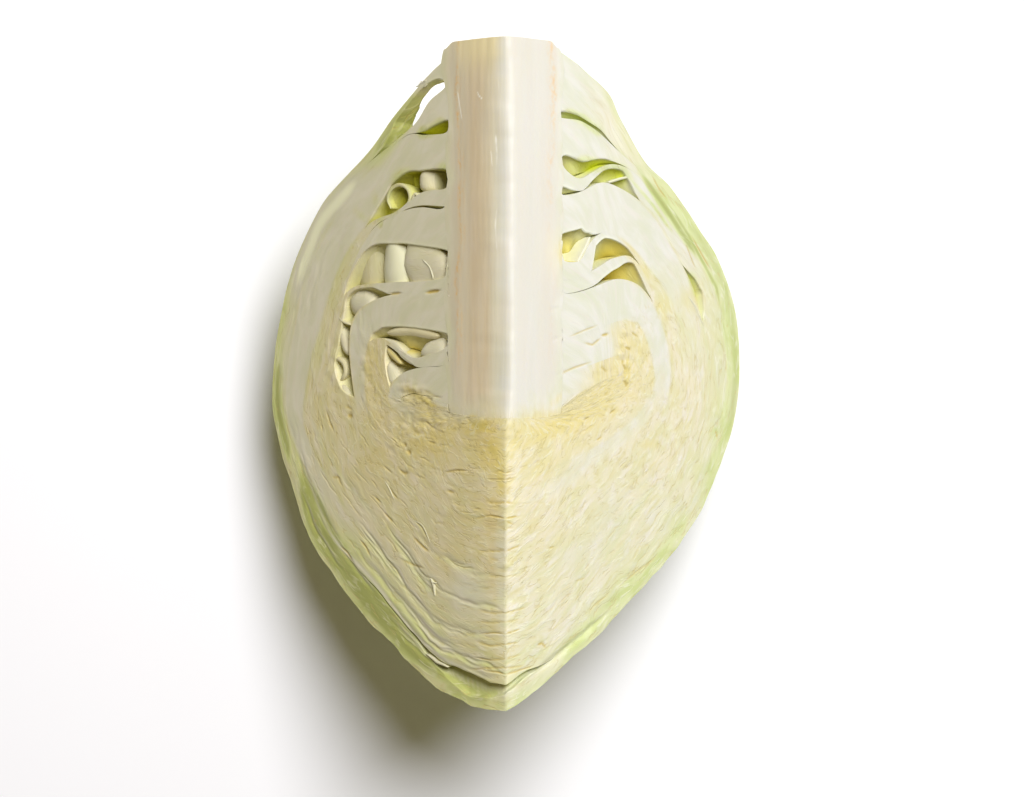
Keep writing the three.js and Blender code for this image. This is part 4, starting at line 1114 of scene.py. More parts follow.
# %% Left face: strips and lumps in the hollow by the heart
curl("leaf_08", LEFT, [(40, 66.8, 1), (36.4, 68, 1.4), (33.2, 70.4, 1.5), (29.4, 72, 1.5),
     (24, 73.4, 1.2)], reach=8, sink=0, lean=(0, 0.1), yellow=0.15, white=0.8)
curl("leaf_08", LEFT, [(39.4, 68.8, 1.2), (37.4, 70.2, 1.4), (34.4, 72.2, 0.9)], reach=5, crown=0.3,
     lean=(0, 0.2), green=0.1, yellow=0.9)
curl("leaf_08", LEFT, [(28.6, 70, 2.8), (24.4, 69.6, 5.2), (19.6, 69, 6)], reach=6, crown=1,
     white=0.9)
curl("leaf_08", LEFT, [(39, 71.6, 2.6), (38.2, 74.6, 4.6), (36.8, 77.4, 4)], reach=6, sink=0.3,
     crown=1.1, yellow=0.15, white=0.9)
curl("leaf_07", LEFT, [(39.4, 65.4, 1.4), (31, 65, 2.2), (22.5, 66, 2)], reach=3, crown=0.4,
     green=0.05, yellow=0.6, white=0.5)
print(len(CURLS), "curls so far")

# %% Left face: fibres at the end of the torn leaf's stub
FIBRES = ((0, 3.2), (0.5, 1.6), (-0.5, 2.2), (1.1, 1.3), (-1, 1.2), (0.25, 4), (-0.2, 2.6))
for turn, reach in FIBRES:
    curl("leaf_01_torn", LEFT, [(25.4, 8.2 + 0.3 * turn, 0.4),
         (25.4 + 0.5 * reach, 8.6 + 0.5 * turn, 0.3), (25.4 + reach, 8.6 + 0.6 * turn * reach, 0.16)],
         reach=0.4, sink=-0.1 + 0.15 * turn, crown=0.1, yellow=0, white=1)
print(len(CURLS), "curls so far")

# %% Right face: strip in the green hollow, cup at the stalk, lip of the outer slit
curl("leaf_03", RIGHT, [(33.6, 30.6, 0.6), (37, 29.8, 0.6), (41, 29, 0.5)], reach=4, sink=0,
     lean=(0, 0.1), green=0.5, white=0.4)
curl("leaf_04", RIGHT, [(28, 43.4, 0.8), (25.8, 46.6, 0.8), (23.4, 49.8, 0.8)], reach=7, lean=(-0.2, 0),
     green=0.05, yellow=0.2, white=0.7)
curl("leaf_04", RIGHT, [(19.4, 44.4, 1), (18.2, 47, 1.6), (19, 50, 1.8), (21.6, 51.6, 1.6)], reach=6,
     sink=0.5, crown=0.6, lean=(0.1, 0), white=0.9)
curl("leaf_04", RIGHT, [(60.8, 56.2, 0.5), (63.6, 59, 0.6), (66.6, 63.6, 0.4)], reach=2.5, sink=-0.2,
     green=0.1, yellow=0.4, white=0.5)
print(len(CURLS), "curls so far")

# %% Loose flakes that the knife left
curl("leaf_04", LEFT, [(24.2, 121.4, 0.6), (23, 123, 0.8), (22.4, 125.6, 0.3)], reach=1, sink=-0.3,
     white=0.9)
curl("leaf_04", LEFT, [(23.4, 122.4, 0.4), (22, 122.4, 0.3)], reach=0.8, sink=-0.3, white=0.9)
curl("leaf_05", LEFT, [(29.6, 108.4, 0.3), (26.6, 109.6, 0.5), (24, 113, 0.3)], reach=1, sink=-0.12,
     crown=0.1, yellow=0.2, white=0.7)
curl("leaf_05", LEFT, [(39.4, 99.6, 0.3), (38, 101.2, 0.3), (36, 103.8, 0.3)], reach=1, sink=-0.12,
     crown=0.1, yellow=0.3, white=0.7)
curl("leaf_02", LEFT, [(25.4, 138.4, 0.5), (22, 139.8, 0.6), (18.4, 141, 0.4)], reach=1.2, sink=-0.2,
     green=0.1, yellow=0, white=0.9)
print(len(CURLS), "curls, folds and flakes")

# %% [markdown]
# ## What the flesh is at each place
# Each vertex stores three shares: white rib, green and yellow. A rib is where the leaf is thick, as
# far out as the rib reaches; green rises towards a leaf's skins and towards the outside of the head;
# yellow rises towards the heart. The painted maps are laid over that. Storing them per vertex lets
# one material serve all leaves, and lets the colour follow each leaf's own shape.

# %% Flesh of a leaf
GREENNESS = dict(zip(ORDER, [0.8, 0.6, 0.4, 0.4, 0.22, 0.2, 0.12, 0.06, 0.0, 0.0, 0.0]))
YELLOWNESS = dict(zip(ORDER, [0.0, 0.0, 0.0, 0.05, 0.1, 0.15, 0.2, 0.4, 0.5, 0.6, 1.0]))
RIB_ENDS_LEFT = dict(zip(ORDER, [1.2, 2.0, 6.2, 3.2, 3.4, 3.0, 4.9, 2.6, 4.6, 2.6, 9]))   # fan lines
RIB_ENDS_RIGHT = dict(RIB_ENDS_LEFT, leaf_03=3.4, leaf_04=3.8, leaf_08=2.2, leaf_09=0.9, heart_bud=0.6)
Places = namedtuple("Places", "s v t h a w")


def rib_of(name, places, thick, edge):
    """Share of white rib: where a leaf is thick, until the rib wears out."""
    ends = between(RIB_ENDS_LEFT[name], RIB_ENDS_RIGHT[name], places.w)
    far = smooth(places.t, 2.0, 3.6)
    rib = np.clip((thick - 0.2 - 1.4 * far) / (0.8 + 2.0 * far), 0.0, 1.0)
    ragged = 0.5 * noise(np.stack([places.s, places.v], axis=1), 5.0, 77, 2)
    worn = places.t + ragged * smooth(places.t, 0.5, 2.0)
    rib = rib * (1.0 - far * (1.0 - smooth(edge, -0.2, 0.9)))
    return rib * (1.0 - smooth(worn, ends - 0.6, ends + 1.1))


def flesh_of(name, places, thick, inside, painted):
    """Per vertex: shares of white, green and yellow, from the leaf's own shape and the maps."""
    edge = np.minimum(places.h, 1.0 - places.h) * thick
    rib = rib_of(name, places, thick, edge)
    skin = np.exp(-edge / 0.6)
    outer_rim = 1.1 * np.exp(-inside / 1.6) * smooth(places.t, 2.5, 4.0)
    greens = GREENNESS[name] * (0.25 + 0.75 * skin) * (1.0 - 0.5 * rib)
    greens = np.maximum(greens, 0.75 * (1.0 - smooth(inside, 1.0, 6.0)) * (1.0 - 0.6 * rib))
    greens = np.maximum(greens, outer_rim * (0.5 + 0.5 * places.w))
    greens = np.maximum(greens, painted["green"])
    bare = 1.0 - 0.85 * np.clip(painted["crinkle"], 0.0, 1.0)
    ribbed = rib * bare * (1.0 - 0.8 * smooth(painted["green"], 0.4, 1.1))
    white = np.maximum(ribbed, painted["white"] * bare)
    yellows = np.maximum(YELLOWNESS[name] * (1 - 0.7 * rib) * np.ones_like(thick), painted["yellow"])
    return np.stack([white, greens, yellows], axis=1)


def painted_at(s, v, look):
    """The colour maps read at every vertex, from one face's look to the other's."""
    return {kind: face_map(kind, LEFT, s, v) * (1.0 - look) + face_map(kind, RIGHT, s, v) * look
            for kind in COLOUR_MAPS}


print("greenest:", max(GREENNESS, key=GREENNESS.get), "yellowest leaf: heart_bud", YELLOWNESS["heart_bud"])

# %% [markdown]
# ## Building the leaves
# A vertex of the flat slab knows how far along, through and across its leaf it lies. The section of
# the leaf is read on both cut faces at that fan line, the two readings are blended by how far round
# the wedge the vertex is, and the result is turned to its azimuth. So each cut face shows exactly
# its own section, and the inside runs smoothly from one to the other.

# %% A leaf as one cut face shows it
SideView = namedtuple("SideView", "points depth along inside thick gap")
STREAK_GUIDE = "leaf_05"                             # the leaf along which streaks are measured


def as_cut(side, section, steps, low, part, places):
    """Where a leaf's vertices would lie if the whole leaf were as one cut face shows it."""
    outer, inner, hollow, deep = section(side, steps)
    room = np.hypot(*(inner - outer).T)
    skin = read_rows(LEAVES[side][OUTERMOST], steps)[:, :2]
    table = np.column_stack([outer, inner, hollow, deep, room, skin])
    here = table[low] + (table[low + 1] - table[low]) * part[:, None]
    outer, inner, hollow, deep, room, skin = np.split(here, [2, 4, 5, 6, 7], axis=1)
    hollow, deep, room = hollow[:, 0], deep[:, 0], room[:, 0]
    behind_face = outer[:, 0] * np.sin(HALF_ANGLE + (places.a, -places.a)[side])
    open_here = hollow * (1.0 - smooth(behind_face, deep - 0.8, deep + 1.4))
    share = (1.0 - open_here) * places.h
    points = outer + (inner - outer) * share[:, None]
    if steps[0] == 0.0:
        base = table[0, 0:2] + (table[0, 2:4] - table[0, 0:2]) * share[:, None]
        ragged = at(STALK_SIDE[side], base[:, 1], 1) - 0.08 - base[:, 0]
        points[:, 0] += ragged * (1.0 - smooth(places.t, 0.0, 0.8))
    depth = np.hypot(*(points - skin).T)
    along = np.interp(places.t, FINE_T, LENGTHS[STREAK_GUIDE][side]) * (-1, 1)[side]
    along, inside = sway(side, along, depth)
    return SideView(points, depth, along, inside, room * (1.0 - hollow), hollow * room)


def bend(left, right, places):
    """The s and v of a leaf's vertices, between what the two faces show; they meet at the tip."""
    s = between(left.points[:, 0], right.points[:, 0], places.w)
    v = between(left.points[:, 1], right.points[:, 1], places.w)
    last = places.t > TIP - 1e-4
    s = np.where(last, 0.0, s)
    v = np.where(last, 0.5 * (left.points[:, 1] + right.points[:, 1]), v)
    ds, dv = crumple(place(s, v, places.a))
    away = smooth(places.t, 0.0, 1.2)
    return s + ds * away * smooth(s, 0.0, 9.0), v + dv * away


print("each face gives", ", ".join(SideView._fields))

# %% Cutting and colouring a leaf
def cut_into(spot, left, right, places):
    """Press ridges, slits, dips and rounded rims into a leaf; gives how strongly slits show."""
    s, v = places.s, places.v
    slits = np.zeros_like(s)
    drops = []
    for side, view, strong, reach in zip((LEFT, RIGHT), (left, right), (0.7, 0.4), reach_of(s, places.a)):
        fade = np.exp(-reach / RELIEF_REACH)
        slit = face_map("relief", side, s, v)
        drop = ridges(side, view.along, view.inside, s, v) * smooth(places.t, 0.0, 1.2)
        drop = drop + strong * slit + face_map("dip", side, s, v) + rim_drop(places.h, view.thick, view.gap)
        drops.append(drop * fade)
        slits += np.clip(slit, 0, 2) * fade
    sink(spot, *drops)
    return slits


def store_looks(mesh, name, like, left, right, places, slits):
    """Store on a leaf's vertices what the materials need to know."""
    s, v, t, h, a, w = places
    thick = between(left.thick, right.thick, w)
    gap = between(left.gap, right.gap, w)
    cut = np.exp(-np.minimum(*reach_of(s, a)) / 0.9)
    if name == OUTERMOST:
        cut[:] = 1.0
    look = blend_of(s, v, w)
    painted = painted_at(s, v, look)
    if name == "heart_bud":
        beside_stalk = stalk_fade(s, v, look) * (1.0 - smooth(s, 14.0, 19.0))
        painted["white"] = np.maximum(painted["white"], beside_stalk)
    make = flesh_of(like, places, thick, between(left.depth, right.depth, w), painted)
    # painted highlight: a whiter band along rims that border a hollow, as rim light
    painted_rim_highlight = 0.5 * np.exp(-(1.0 - h) * thick / 0.55) * smooth(gap, 0.3, 1.2) * cut
    make[:, 0] += painted_rim_highlight * (1.0 - make[:, 1]).clip(0)
    along = between(left.along, right.along, w) * 0.1
    inside = between(left.inside, right.inside, w) * 0.1
    give(mesh, "flow", np.stack([along, inside, look], axis=1))
    give(mesh, "make", make)
    give(mesh, "core", core_of(s, v, w))
    if name == OUTERMOST:
        give(mesh, "skin", np.stack([v * 0.1, s * a * 0.1, np.where(h < 1e-3, 1.0, 0.0)], axis=1))
    give(mesh, "cut", np.stack([cut, slits, painted["brown"]], axis=1))


print("each leaf stores flow, make, core and cut; the outermost also stores its skin")

# %% One leaf
def add_piece(mesh, node):
    """Put a finished mesh in the scene in the place of its node, and hide the node."""
    piece = bpy.data.objects.new(node + "_grown", mesh)
    bpy.context.scene.collection.objects.link(piece)
    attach(piece, "root")
    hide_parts(node)
    return piece


def widest_of(section, t):
    """The greatest thickness of a leaf along its length, on either face."""
    return max(np.hypot(*(section(side, t)[1] - section(side, t)[0]).T).max() for side in (LEFT, RIGHT))


def build_leaf(name, like, section, first_t, rows_across, torn=None):
    """Build a leaf from its section, from fan line first_t to the tip, with the flesh of a like leaf.
    section(side, t) gives outer side, inner side when pressed, hollow share and hollow depth."""
    nt = max(8, int(np.interp(first_t, FINE_T, mean_length(like)) / SLAB_STEP))
    nh = max(3, int(widest_of(section, np.linspace(first_t, TIP, 90)) / SLAB_CROSS))
    bm = flat_slab(nt, nh, rows_across)
    if torn:
        xs = np.linspace(0.0, 1.0, 400)
        tear_window(bm, torn, xs, outer_side(name, LEFT, spread_t(like, first_t, xs))[:, 1])
    mesh, x, h, z = mesh_of(bm, name)
    steps = spread_t(like, first_t, np.arange(nt + 1) / nt)
    low = np.minimum((x * nt).astype(int), nt - 1)
    part = x * nt - low
    a = azimuth_of(z)
    places = Places(None, None, between(steps[low], steps[low + 1], part), h, a,
                    smooth(a, -HALF_ANGLE, HALF_ANGLE))
    left, right = (as_cut(side, section, steps, low, part, places) for side in (LEFT, RIGHT))
    s, v = bend(left, right, places)
    places = places._replace(s=s, v=v)
    spot = place(s, v, a)
    slits = cut_into(spot, left, right, places)
    above_table = 0.75 * between(left.depth, right.depth, places.w)
    spot[:, 2] = np.maximum(spot[:, 2], above_table)
    mesh.vertices.foreach_set("co", (spot * MM).ravel())
    store_looks(mesh, name, like, left, right, places, slits)
    close_up(mesh, [curl_mesh(row) for row in CURLS if row["owner"] == name])
    return add_piece(mesh, name)


print("leaves step every %.2f mm along and %.2f mm across a cut edge" % (SLAB_STEP, SLAB_CROSS))

# %% Sections of the leaves
ROWS_OUTERMOST = 62
ROWS_LEAF = 16
ROWS_TIP_LEAF = 12


def leaf_section(name):
    """The section of a whole leaf, for build_leaf."""
    def section(side, t):
        """The leaf less its tip leaves."""
        outer, following, hollow, tips, deep = layout(name, side, t)
        inner = outer + (following - outer) * (1.0 - tips)[:, None]
        return outer, inner, hollow / np.maximum(1.0 - tips, 1e-6), deep
    return section


def tip_section(name, i, count):
    """The section of tip leaf number i of those that share the room under a leaf."""
    def section(side, t):
        """One of the even layers between the leaf and the next one."""
        outer, following, hollow, tips, deep = layout(name, side, t)
        begin = outer + (following - outer) * (1.0 - tips * (1.0 - i / count))[:, None]
        end = outer + (following - outer) * (1.0 - tips * (1.0 - (i + 1) / count))[:, None]
        return begin, end, np.zeros_like(t), deep
    return section


print(ROWS_LEAF, "rows from face to face in a leaf,", ROWS_OUTERMOST, "in the outermost")

# %% All leaves and tip leaves
leaves = [build_leaf(OUTERMOST, OUTERMOST, leaf_section(OUTERMOST), 0.0, ROWS_OUTERMOST, WINDOW)]
tip_leaves = []
for name, count, start in zip(ORDER[1:-1], TIP_LEAVES_UNDER[1:], TIP_LEAVES_FROM[1:]):
    leaves.append(build_leaf(name, name, leaf_section(name), 0.0, ROWS_LEAF))
    for i in range(count):
        tip_name = "tip_leaf_%02d" % (len(tip_leaves) + 1)
        tip_leaves.append(build_leaf(tip_name, name, tip_section(name, i, count), start, ROWS_TIP_LEAF))
    print(name, "has", len(leaves[-1].data.vertices), "vertices and", count, "tip leaves under it")

# %% [markdown]
# ## The stalk
# The stalk is a solid woody core as far as the heart. Its cut faces are smooth and fine-grained
# lengthwise, a ring of tougher tissue shows as a tan line, and its knife edge was shaved off to a
# narrow facet that widens towards the heart. A spun shape would be rounder, but the stalk's side
# waves where leaves leave it, so it is one more slab: along its length, out from the middle line,
# and round the wedge.

# %% Shape of the stalk
STALK_LENGTH = 82.0                                  # mm, before its end is fitted to the heart
STALK_STEPS = (190, 70, 20)                          # along, out and round


def ridge_grain(side, s, v):
    """Fine ridges along the stalk."""
    spot = np.stack([v, s], axis=1)
    return 0.10 * noise(spot, (26.0, 3.0), 41 + side, 2) + 0.03 * noise(spot, (9.0, 0.7), 43 + side, 2)


def stalk_end_v(side, s):
    """Where the stalk stops below the heart, for places s on a cut face."""
    points = outer_side("stalk_end", side, FINE_T)
    return np.interp(s, points[::-1, 0], points[::-1, 1]) + 0.15


def stalk_on(side, x, h):
    """The stalk's places as one cut face shows them: x runs along it and h out from the middle."""
    v = x * stalk_end_v(side, h * at(STALK_SIDE[side], x * STALK_LENGTH, 1))
    return at(STALK_SIDE[side], v, 1) * h, v


def press_stalk(spot, s, v, a, x, h):
    """Press grain and slits into the stalk's two cut faces, calmer near its rims."""
    calm = (1.0 - smooth(h, 0.86, 1.0)) * (1.0 - smooth(x, 0.94, 1.0))
    under = 0.06 * smooth(x, 0.985, 1.0)
    drops = []
    for side, strong, reach in zip((LEFT, RIGHT), (1.0, 0.4), reach_of(s, a)):
        drop = under + ridge_grain(side, s, v) * calm + strong * face_map("relief", side, s, v)
        drops.append(drop * np.exp(-reach / RELIEF_REACH))
    sink(spot, *drops, smooth(s, 0.5, 3.0))


print("stalk ends %.1f mm below its cut end at the middle line" % stalk_end_v(LEFT, 0.0))

# %% The stalk as a piece
def build_stalk():
    """Build the stalk, store its looks and put it in the place of its node."""
    mesh, x, h, z = mesh_of(flat_slab(*STALK_STEPS), "stalk")
    a = azimuth_of(z)
    w = smooth(a, -HALF_ANGLE, HALF_ANGLE)
    left, right = (stalk_on(side, x, h) for side in (LEFT, RIGHT))
    s = between(left[0], right[0], w)
    v = between(left[1], right[1], w)
    rounded_corner = smooth(h, 0.8, 1.0) ** 2
    v = v + 1.5 * rounded_corner * np.exp(-v / 1.2)
    spot = place(s, v, a)
    press_stalk(spot, s, v, a, x, h)
    mesh.vertices.foreach_set("co", (spot * MM).ravel())
    look = blend_of(s, v, w)
    painted = painted_at(s, v, look)
    white = np.maximum(stalk_fade(s, v, look), painted["white"])
    white = white * (1.0 - smooth(painted["yellow"], 0.3, 0.9))
    give(mesh, "flow", np.stack([v * 0.1, s * 0.1 * np.where(w < 0.5, -1, 1), look], axis=1))
    give(mesh, "make", np.stack([white, painted["green"], painted["yellow"]], axis=1))
    give(mesh, "core", core_of(s, v, w))
    give(mesh, "cut", np.stack([np.ones_like(s), np.zeros_like(s), painted["brown"]], axis=1))
    close_up(mesh)
    return add_piece(mesh, "stalk")


stalk = build_stalk()
print("stalk has", len(stalk.data.vertices), "vertices")

# %% [markdown]
# ## Materials
# Cut cabbage is wet, slightly translucent flesh. Its colour comes from what the tissue is: white
# ribs, pale yellow-green blades, a yellow heart and green outer skin. Each leaf carries those shares
# per vertex, and the node groups below add what is too fine for the mesh: streaks along the leaves,
# thin bright leaf edges and thin dark gaps. Painted image textures could do the same, but node
# groups have no limit of sharpness and the same ones serve leaves and stalk.

# %% Helper for node trees
class Wires:
    """Adds nodes to a tree with their inputs given as numbers, colours or other nodes' outputs."""

    def __init__(self, tree):
        """Start on a tree."""
        self.tree = tree

    def add(self, kind, inputs=(), **settings):
        """Add one shader node with its settings and inputs."""
        made = self.tree.nodes.new("ShaderNode" + kind)
        for key, value in settings.items():
            setattr(made, key, value)
        for key, value in dict(inputs).items():
            self.put(made.inputs[key], value)
        return made

    def put(self, socket, value):
        """Link another node's output to a socket, or set the socket to a number or colour."""
        if isinstance(value, bpy.types.NodeSocket):
            self.tree.links.new(value, socket)
        elif isinstance(value, tuple) and socket.type == "RGBA":
            socket.default_value = (*value, 1.0)
        else:
            socket.default_value = value

    def math(self, operation, a, b=0.0, clamp=False):
        """One step of arithmetic."""
        return self.add("Math", {0: a, 1: b}, operation=operation, use_clamp=clamp).outputs[0]

    def times(self, a, b, clamp=False):
        """The product of two values."""
        return self.math("MULTIPLY", a, b, clamp)

    def ramp(self, value, low, high, to_low=0.0, to_high=1.0):
        """An easy slope from to_low to to_high while the value goes from low to high."""
        made = self.add("MapRange", interpolation_type="SMOOTHSTEP")
        for key, item in (("Value", value), ("From Min", low), ("From Max", high),
                          ("To Min", to_low), ("To Max", to_high)):
            self.put(made.inputs[key], item)
        return made.outputs["Result"]

    def mix(self, factor, a, b):
        """Colour a where the factor is 0, colour b where it is 1."""
        made = self.add("Mix", data_type="RGBA")
        self.put(made.inputs[0], factor)
        self.put(made.inputs[6], a)
        self.put(made.inputs[7], b)
        return made.outputs[2]

    def noise(self, vector, scale, seed=0.0, detail=2.0):
        """Noise over two directions, with its own scale along each."""
        moved = self.add("VectorMath", {0: vector, 1: (scale[0], scale[1], 0.0)}, operation="MULTIPLY")
        shifted = self.add("VectorMath", {0: moved.outputs[0], 1: (0.0, 0.0, seed)}, operation="ADD")
        made = self.add("TexNoise", {"Vector": shifted.outputs[0], "Scale": 1.0, "Detail": detail})
        return made.outputs["Fac"]

    def parts(self, vector):
        """The X, Y and Z of a vector."""
        return self.add("SeparateXYZ", {0: vector}).outputs


def node_group(name, inputs, outputs):
    """Start a node group with named inputs and outputs."""
    tree = bpy.data.node_groups.new(name, "ShaderNodeTree")
    kinds = {"value": "NodeSocketFloat", "vector": "NodeSocketVector", "color": "NodeSocketColor"}
    for label, kind in inputs:
        tree.interface.new_socket(label, in_out="INPUT", socket_type=kinds[kind])
    for label, kind in outputs:
        tree.interface.new_socket(label, in_out="OUTPUT", socket_type=kinds[kind])
    source = tree.nodes.new("NodeGroupInput")
    sink = tree.nodes.new("NodeGroupOutput")
    return tree, Wires(tree), source.outputs, sink.inputs


print("the helper can", ", ".join(word for word in vars(Wires) if not word.startswith("_")))

# %% [markdown]
# ## Grain of the leaves
# Cut leaves show as streaks that run along them: broad patches, clouds and fine fibres. Where one
# leaf's skin is caught on edge there is a thin bright line, and where two leaves part a dark one. A
# line is where a noise crosses its middle value, which gives long thin lines that come and go.

# %% Node group: grain
grain_tree, wires, given, result = node_group(
    "leaf grain", [("Flow", "vector")],
    [("Patch", "value"), ("Cloud", "value"), ("Streak", "value"), ("Bright Line", "value"),
     ("Dark Line", "value"), ("Height", "value")])
flow = given["Flow"]
patch = wires.noise(flow, (0.9, 1.5), 1.0, 3.0)
cloud = wires.noise(flow, (1.8, 3.4), 27.0, 2.0)
streak = wires.noise(flow, (1.4, 8.0), 5.0, 4.0)
layer = wires.noise(flow, (1.3, 6.0), 9.0, 3.0)
other = wires.noise(flow, (1.5, 7.0), 14.0, 3.0)
gate = wires.noise(flow, (2.2, 4.0), 21.0, 2.0)
bright = wires.ramp(wires.math("ABSOLUTE", wires.math("SUBTRACT", layer, 0.5)), 0.05, 0.008)
bright = wires.times(bright, wires.ramp(gate, 0.46, 0.62))
dark = wires.ramp(wires.math("ABSOLUTE", wires.math("SUBTRACT", other, 0.5)), 0.035, 0.006)
dark = wires.times(dark, wires.ramp(gate, 0.52, 0.38))
height = wires.times(streak, 0.09)
height = wires.math("ADD", height, wires.times(bright, 0.06))
height = wires.math("SUBTRACT", height, wires.times(dark, 0.08))
for label, value in (("Patch", patch), ("Cloud", cloud), ("Streak", streak), ("Bright Line", bright),
                     ("Dark Line", dark), ("Height", height)):
    wires.put(result[label], value)
print(grain_tree.name, len(grain_tree.nodes), "nodes")

# %% [markdown]
# ## Flesh of the leaves
# A blade is pale straw with milky clouds. Browned tissue, yellow and green are laid over it by their
# shares, and white rib over those. Near the cut the lines of the grain are added, and the slits get
# painted shade, darker as they go deeper. Behind the cut, on the walls of the hollows, light has passed
# through green or yellow flesh and is deeper in colour, so the walls get colours of their own; in one
# deep hollow they get painted shade.

# %% Node group: leaf flesh, blade
flesh_tree, wires, given, result = node_group(
    "leaf flesh", [("Rib", "value"), ("Green", "value"), ("Yellow", "value"), ("Cut", "value"),
                   ("Slit", "value"), ("Brown And Shade", "value"), ("Patch", "value"), ("Cloud", "value"),
                   ("Streak", "value"), ("Bright Line", "value"), ("Dark Line", "value")],
    [("Color", "color")])
STRAW = (0.76, 0.69, 0.50)
STRAW_DEEPER = (0.70, 0.645, 0.385)
MILK = (0.785, 0.72, 0.59)
FIBRE = (0.65, 0.58, 0.29)
BROWNED = (0.71, 0.56, 0.31)
HEART_YELLOW = (0.73, 0.61, 0.22)
HEART_GOLD = (0.60, 0.50, 0.14)
LIME = (0.66, 0.69, 0.33)
LIME_DEEPER = (0.56, 0.61, 0.23)
OLIVE = (0.385, 0.415, 0.125)
blade = wires.mix(wires.ramp(given["Patch"], 0.36, 0.64), STRAW, STRAW_DEEPER)
blade = wires.mix(wires.ramp(given["Cloud"], 0.50, 0.70, 0.0, 0.9), blade, MILK)
blade = wires.mix(wires.ramp(given["Streak"], 0.48, 0.70, 0.0, 0.65), blade, FIBRE)
blade = wires.mix(wires.times(given["Brown And Shade"], wires.ramp(given["Patch"], 0.3, 0.6)), blade, BROWNED)
uneven = wires.ramp(given["Streak"], 0.25, 0.6, 0.6, 1.1)
blade = wires.mix(wires.times(given["Yellow"], uneven, clamp=True), blade, HEART_YELLOW)
blade = wires.mix(wires.ramp(given["Yellow"], 1.0, 1.6), blade, HEART_GOLD)
uneven = wires.ramp(given["Patch"], 0.3, 0.65, 0.55, 1.1)
fresh = wires.mix(wires.ramp(given["Cloud"], 0.35, 0.65), LIME, LIME_DEEPER)
blade = wires.mix(wires.times(given["Green"], uneven, clamp=True), blade, fresh)
uneven = wires.ramp(given["Streak"], 0.3, 0.6, 0.75, 1.0)
blade = wires.mix(wires.times(wires.ramp(given["Green"], 1.0, 2.0), uneven), blade, OLIVE)
print("blade:", len(flesh_tree.nodes), "nodes so far")

# %% Leaf flesh, rib, lines and painted shade in the slits
RIB = (0.68, 0.665, 0.50)
RIB_PALER = (0.73, 0.705, 0.57)
RIB_GREENISH = (0.65, 0.65, 0.44)
RIB_WARM = (0.73, 0.67, 0.55)
RIB_WHITEST_AND_HIGHLIGHT = (0.90, 0.91, 0.67)
rib = wires.mix(wires.ramp(given["Cloud"], 0.36, 0.66), RIB, RIB_PALER)
rib = wires.mix(wires.ramp(given["Patch"], 0.44, 0.66, 0.0, 0.6), rib, RIB_GREENISH)
rib = wires.mix(wires.ramp(given["Streak"], 0.5, 0.7, 0.0, 0.5), rib, RIB_WARM)
# white above 1 is the whitest flesh, and painted highlight along the outermost leaf's rim
rib = wires.mix(wires.ramp(given["Rib"], 1.0, 1.5), rib, RIB_WHITEST_AND_HIGHLIGHT)
tissue = wires.mix(given["Rib"], blade, rib)
thin = wires.times(wires.math("SUBTRACT", 1.0, given["Rib"], clamp=True), given["Cut"])
pale_line = wires.times(wires.times(given["Bright Line"], 0.45), thin)
tissue = wires.mix(pale_line, tissue, (0.80, 0.78, 0.55))
olive_line = wires.times(wires.times(given["Dark Line"], 0.5), thin)
tissue = wires.mix(olive_line, tissue, (0.60, 0.50, 0.20))
# painted shade: slits are coloured dark olive, more so the deeper they go
tissue = wires.mix(wires.times(given["Slit"], 2.4, clamp=True), tissue, (0.58, 0.46, 0.15))
print("rib and lines:", len(flesh_tree.nodes), "nodes so far")

# %% Leaf flesh, walls of the hollows
WALL_NEAR = (0.75, 0.72, 0.48)
WALL_NEAR_GREEN = (0.70, 0.72, 0.10)
WALL_DEEP = (0.76, 0.73, 0.42)
WALL_DEEP_GREEN = (0.71, 0.73, 0.03)
WALL_GOLD = (0.83, 0.71, 0.17)
WALL_PAINTED_SHADE = (0.27, 0.26, 0.02)
leafy = wires.times(given["Green"], 0.8, clamp=True)
near = wires.mix(leafy, WALL_NEAR, WALL_NEAR_GREEN)
deep_in = wires.mix(leafy, WALL_DEEP, WALL_DEEP_GREEN)
wall = wires.mix(wires.math("POWER", given["Cut"], 0.6), deep_in, near)
# painted light: walls turn golden where the yellow map is strong, for light passing through the flesh
golden = wires.times(wires.ramp(given["Yellow"], 0.3, 1.2), wires.math("SUBTRACT", 1.0, leafy))
wall = wires.mix(golden, wall, WALL_GOLD)
# painted shade: the walls of one deep hollow turn dark olive
wall = wires.mix(wires.ramp(given["Brown And Shade"], 0.2, 0.9), wall, WALL_PAINTED_SHADE)
wires.put(result["Color"], wires.mix(wires.math("POWER", given["Cut"], 2.0), wall, tissue))
print(flesh_tree.name, len(flesh_tree.nodes), "nodes")

# %% [markdown]
# ## Flesh of the woody core
# The core is denser than a rib: cream, with a long straight grain, a tan tone that is strongest on
# the left face, and a ring of orange flecks, which are its vessels cut along.

# %% Node group: woody core
core_tree, wires, given, result = node_group(
    "core flesh", [("Flow", "vector"), ("Tan", "value"), ("Ring", "value"), ("Yellow", "value"),
                   ("White", "value")],
    [("Color", "color"), ("Height", "value")])
grain = wires.noise(given["Flow"], (0.9, 9.0), 2.0, 4.0)
cloud = wires.noise(given["Flow"], (0.9, 2.2), 6.0, 3.0)
flecks = wires.noise(given["Flow"], (9.0, 12.0), 8.0, 2.0)
wood = wires.mix(given["Tan"], (0.69, 0.665, 0.535), (0.69, 0.565, 0.385))
wood = wires.mix(wires.ramp(cloud, 0.35, 0.7, 0.0, 0.35), wood, (0.72, 0.65, 0.54))
wood = wires.mix(wires.ramp(grain, 0.55, 0.75, 0.0, 0.25), wood, (0.70, 0.63, 0.47))
ring = wires.times(given["Ring"], wires.ramp(flecks, 0.35, 0.65, 0.15, 0.75))
wood = wires.mix(ring, wood, (0.76, 0.50, 0.22))
wood = wires.mix(wires.times(given["Yellow"], 0.9, clamp=True), wood, (0.87, 0.77, 0.47))
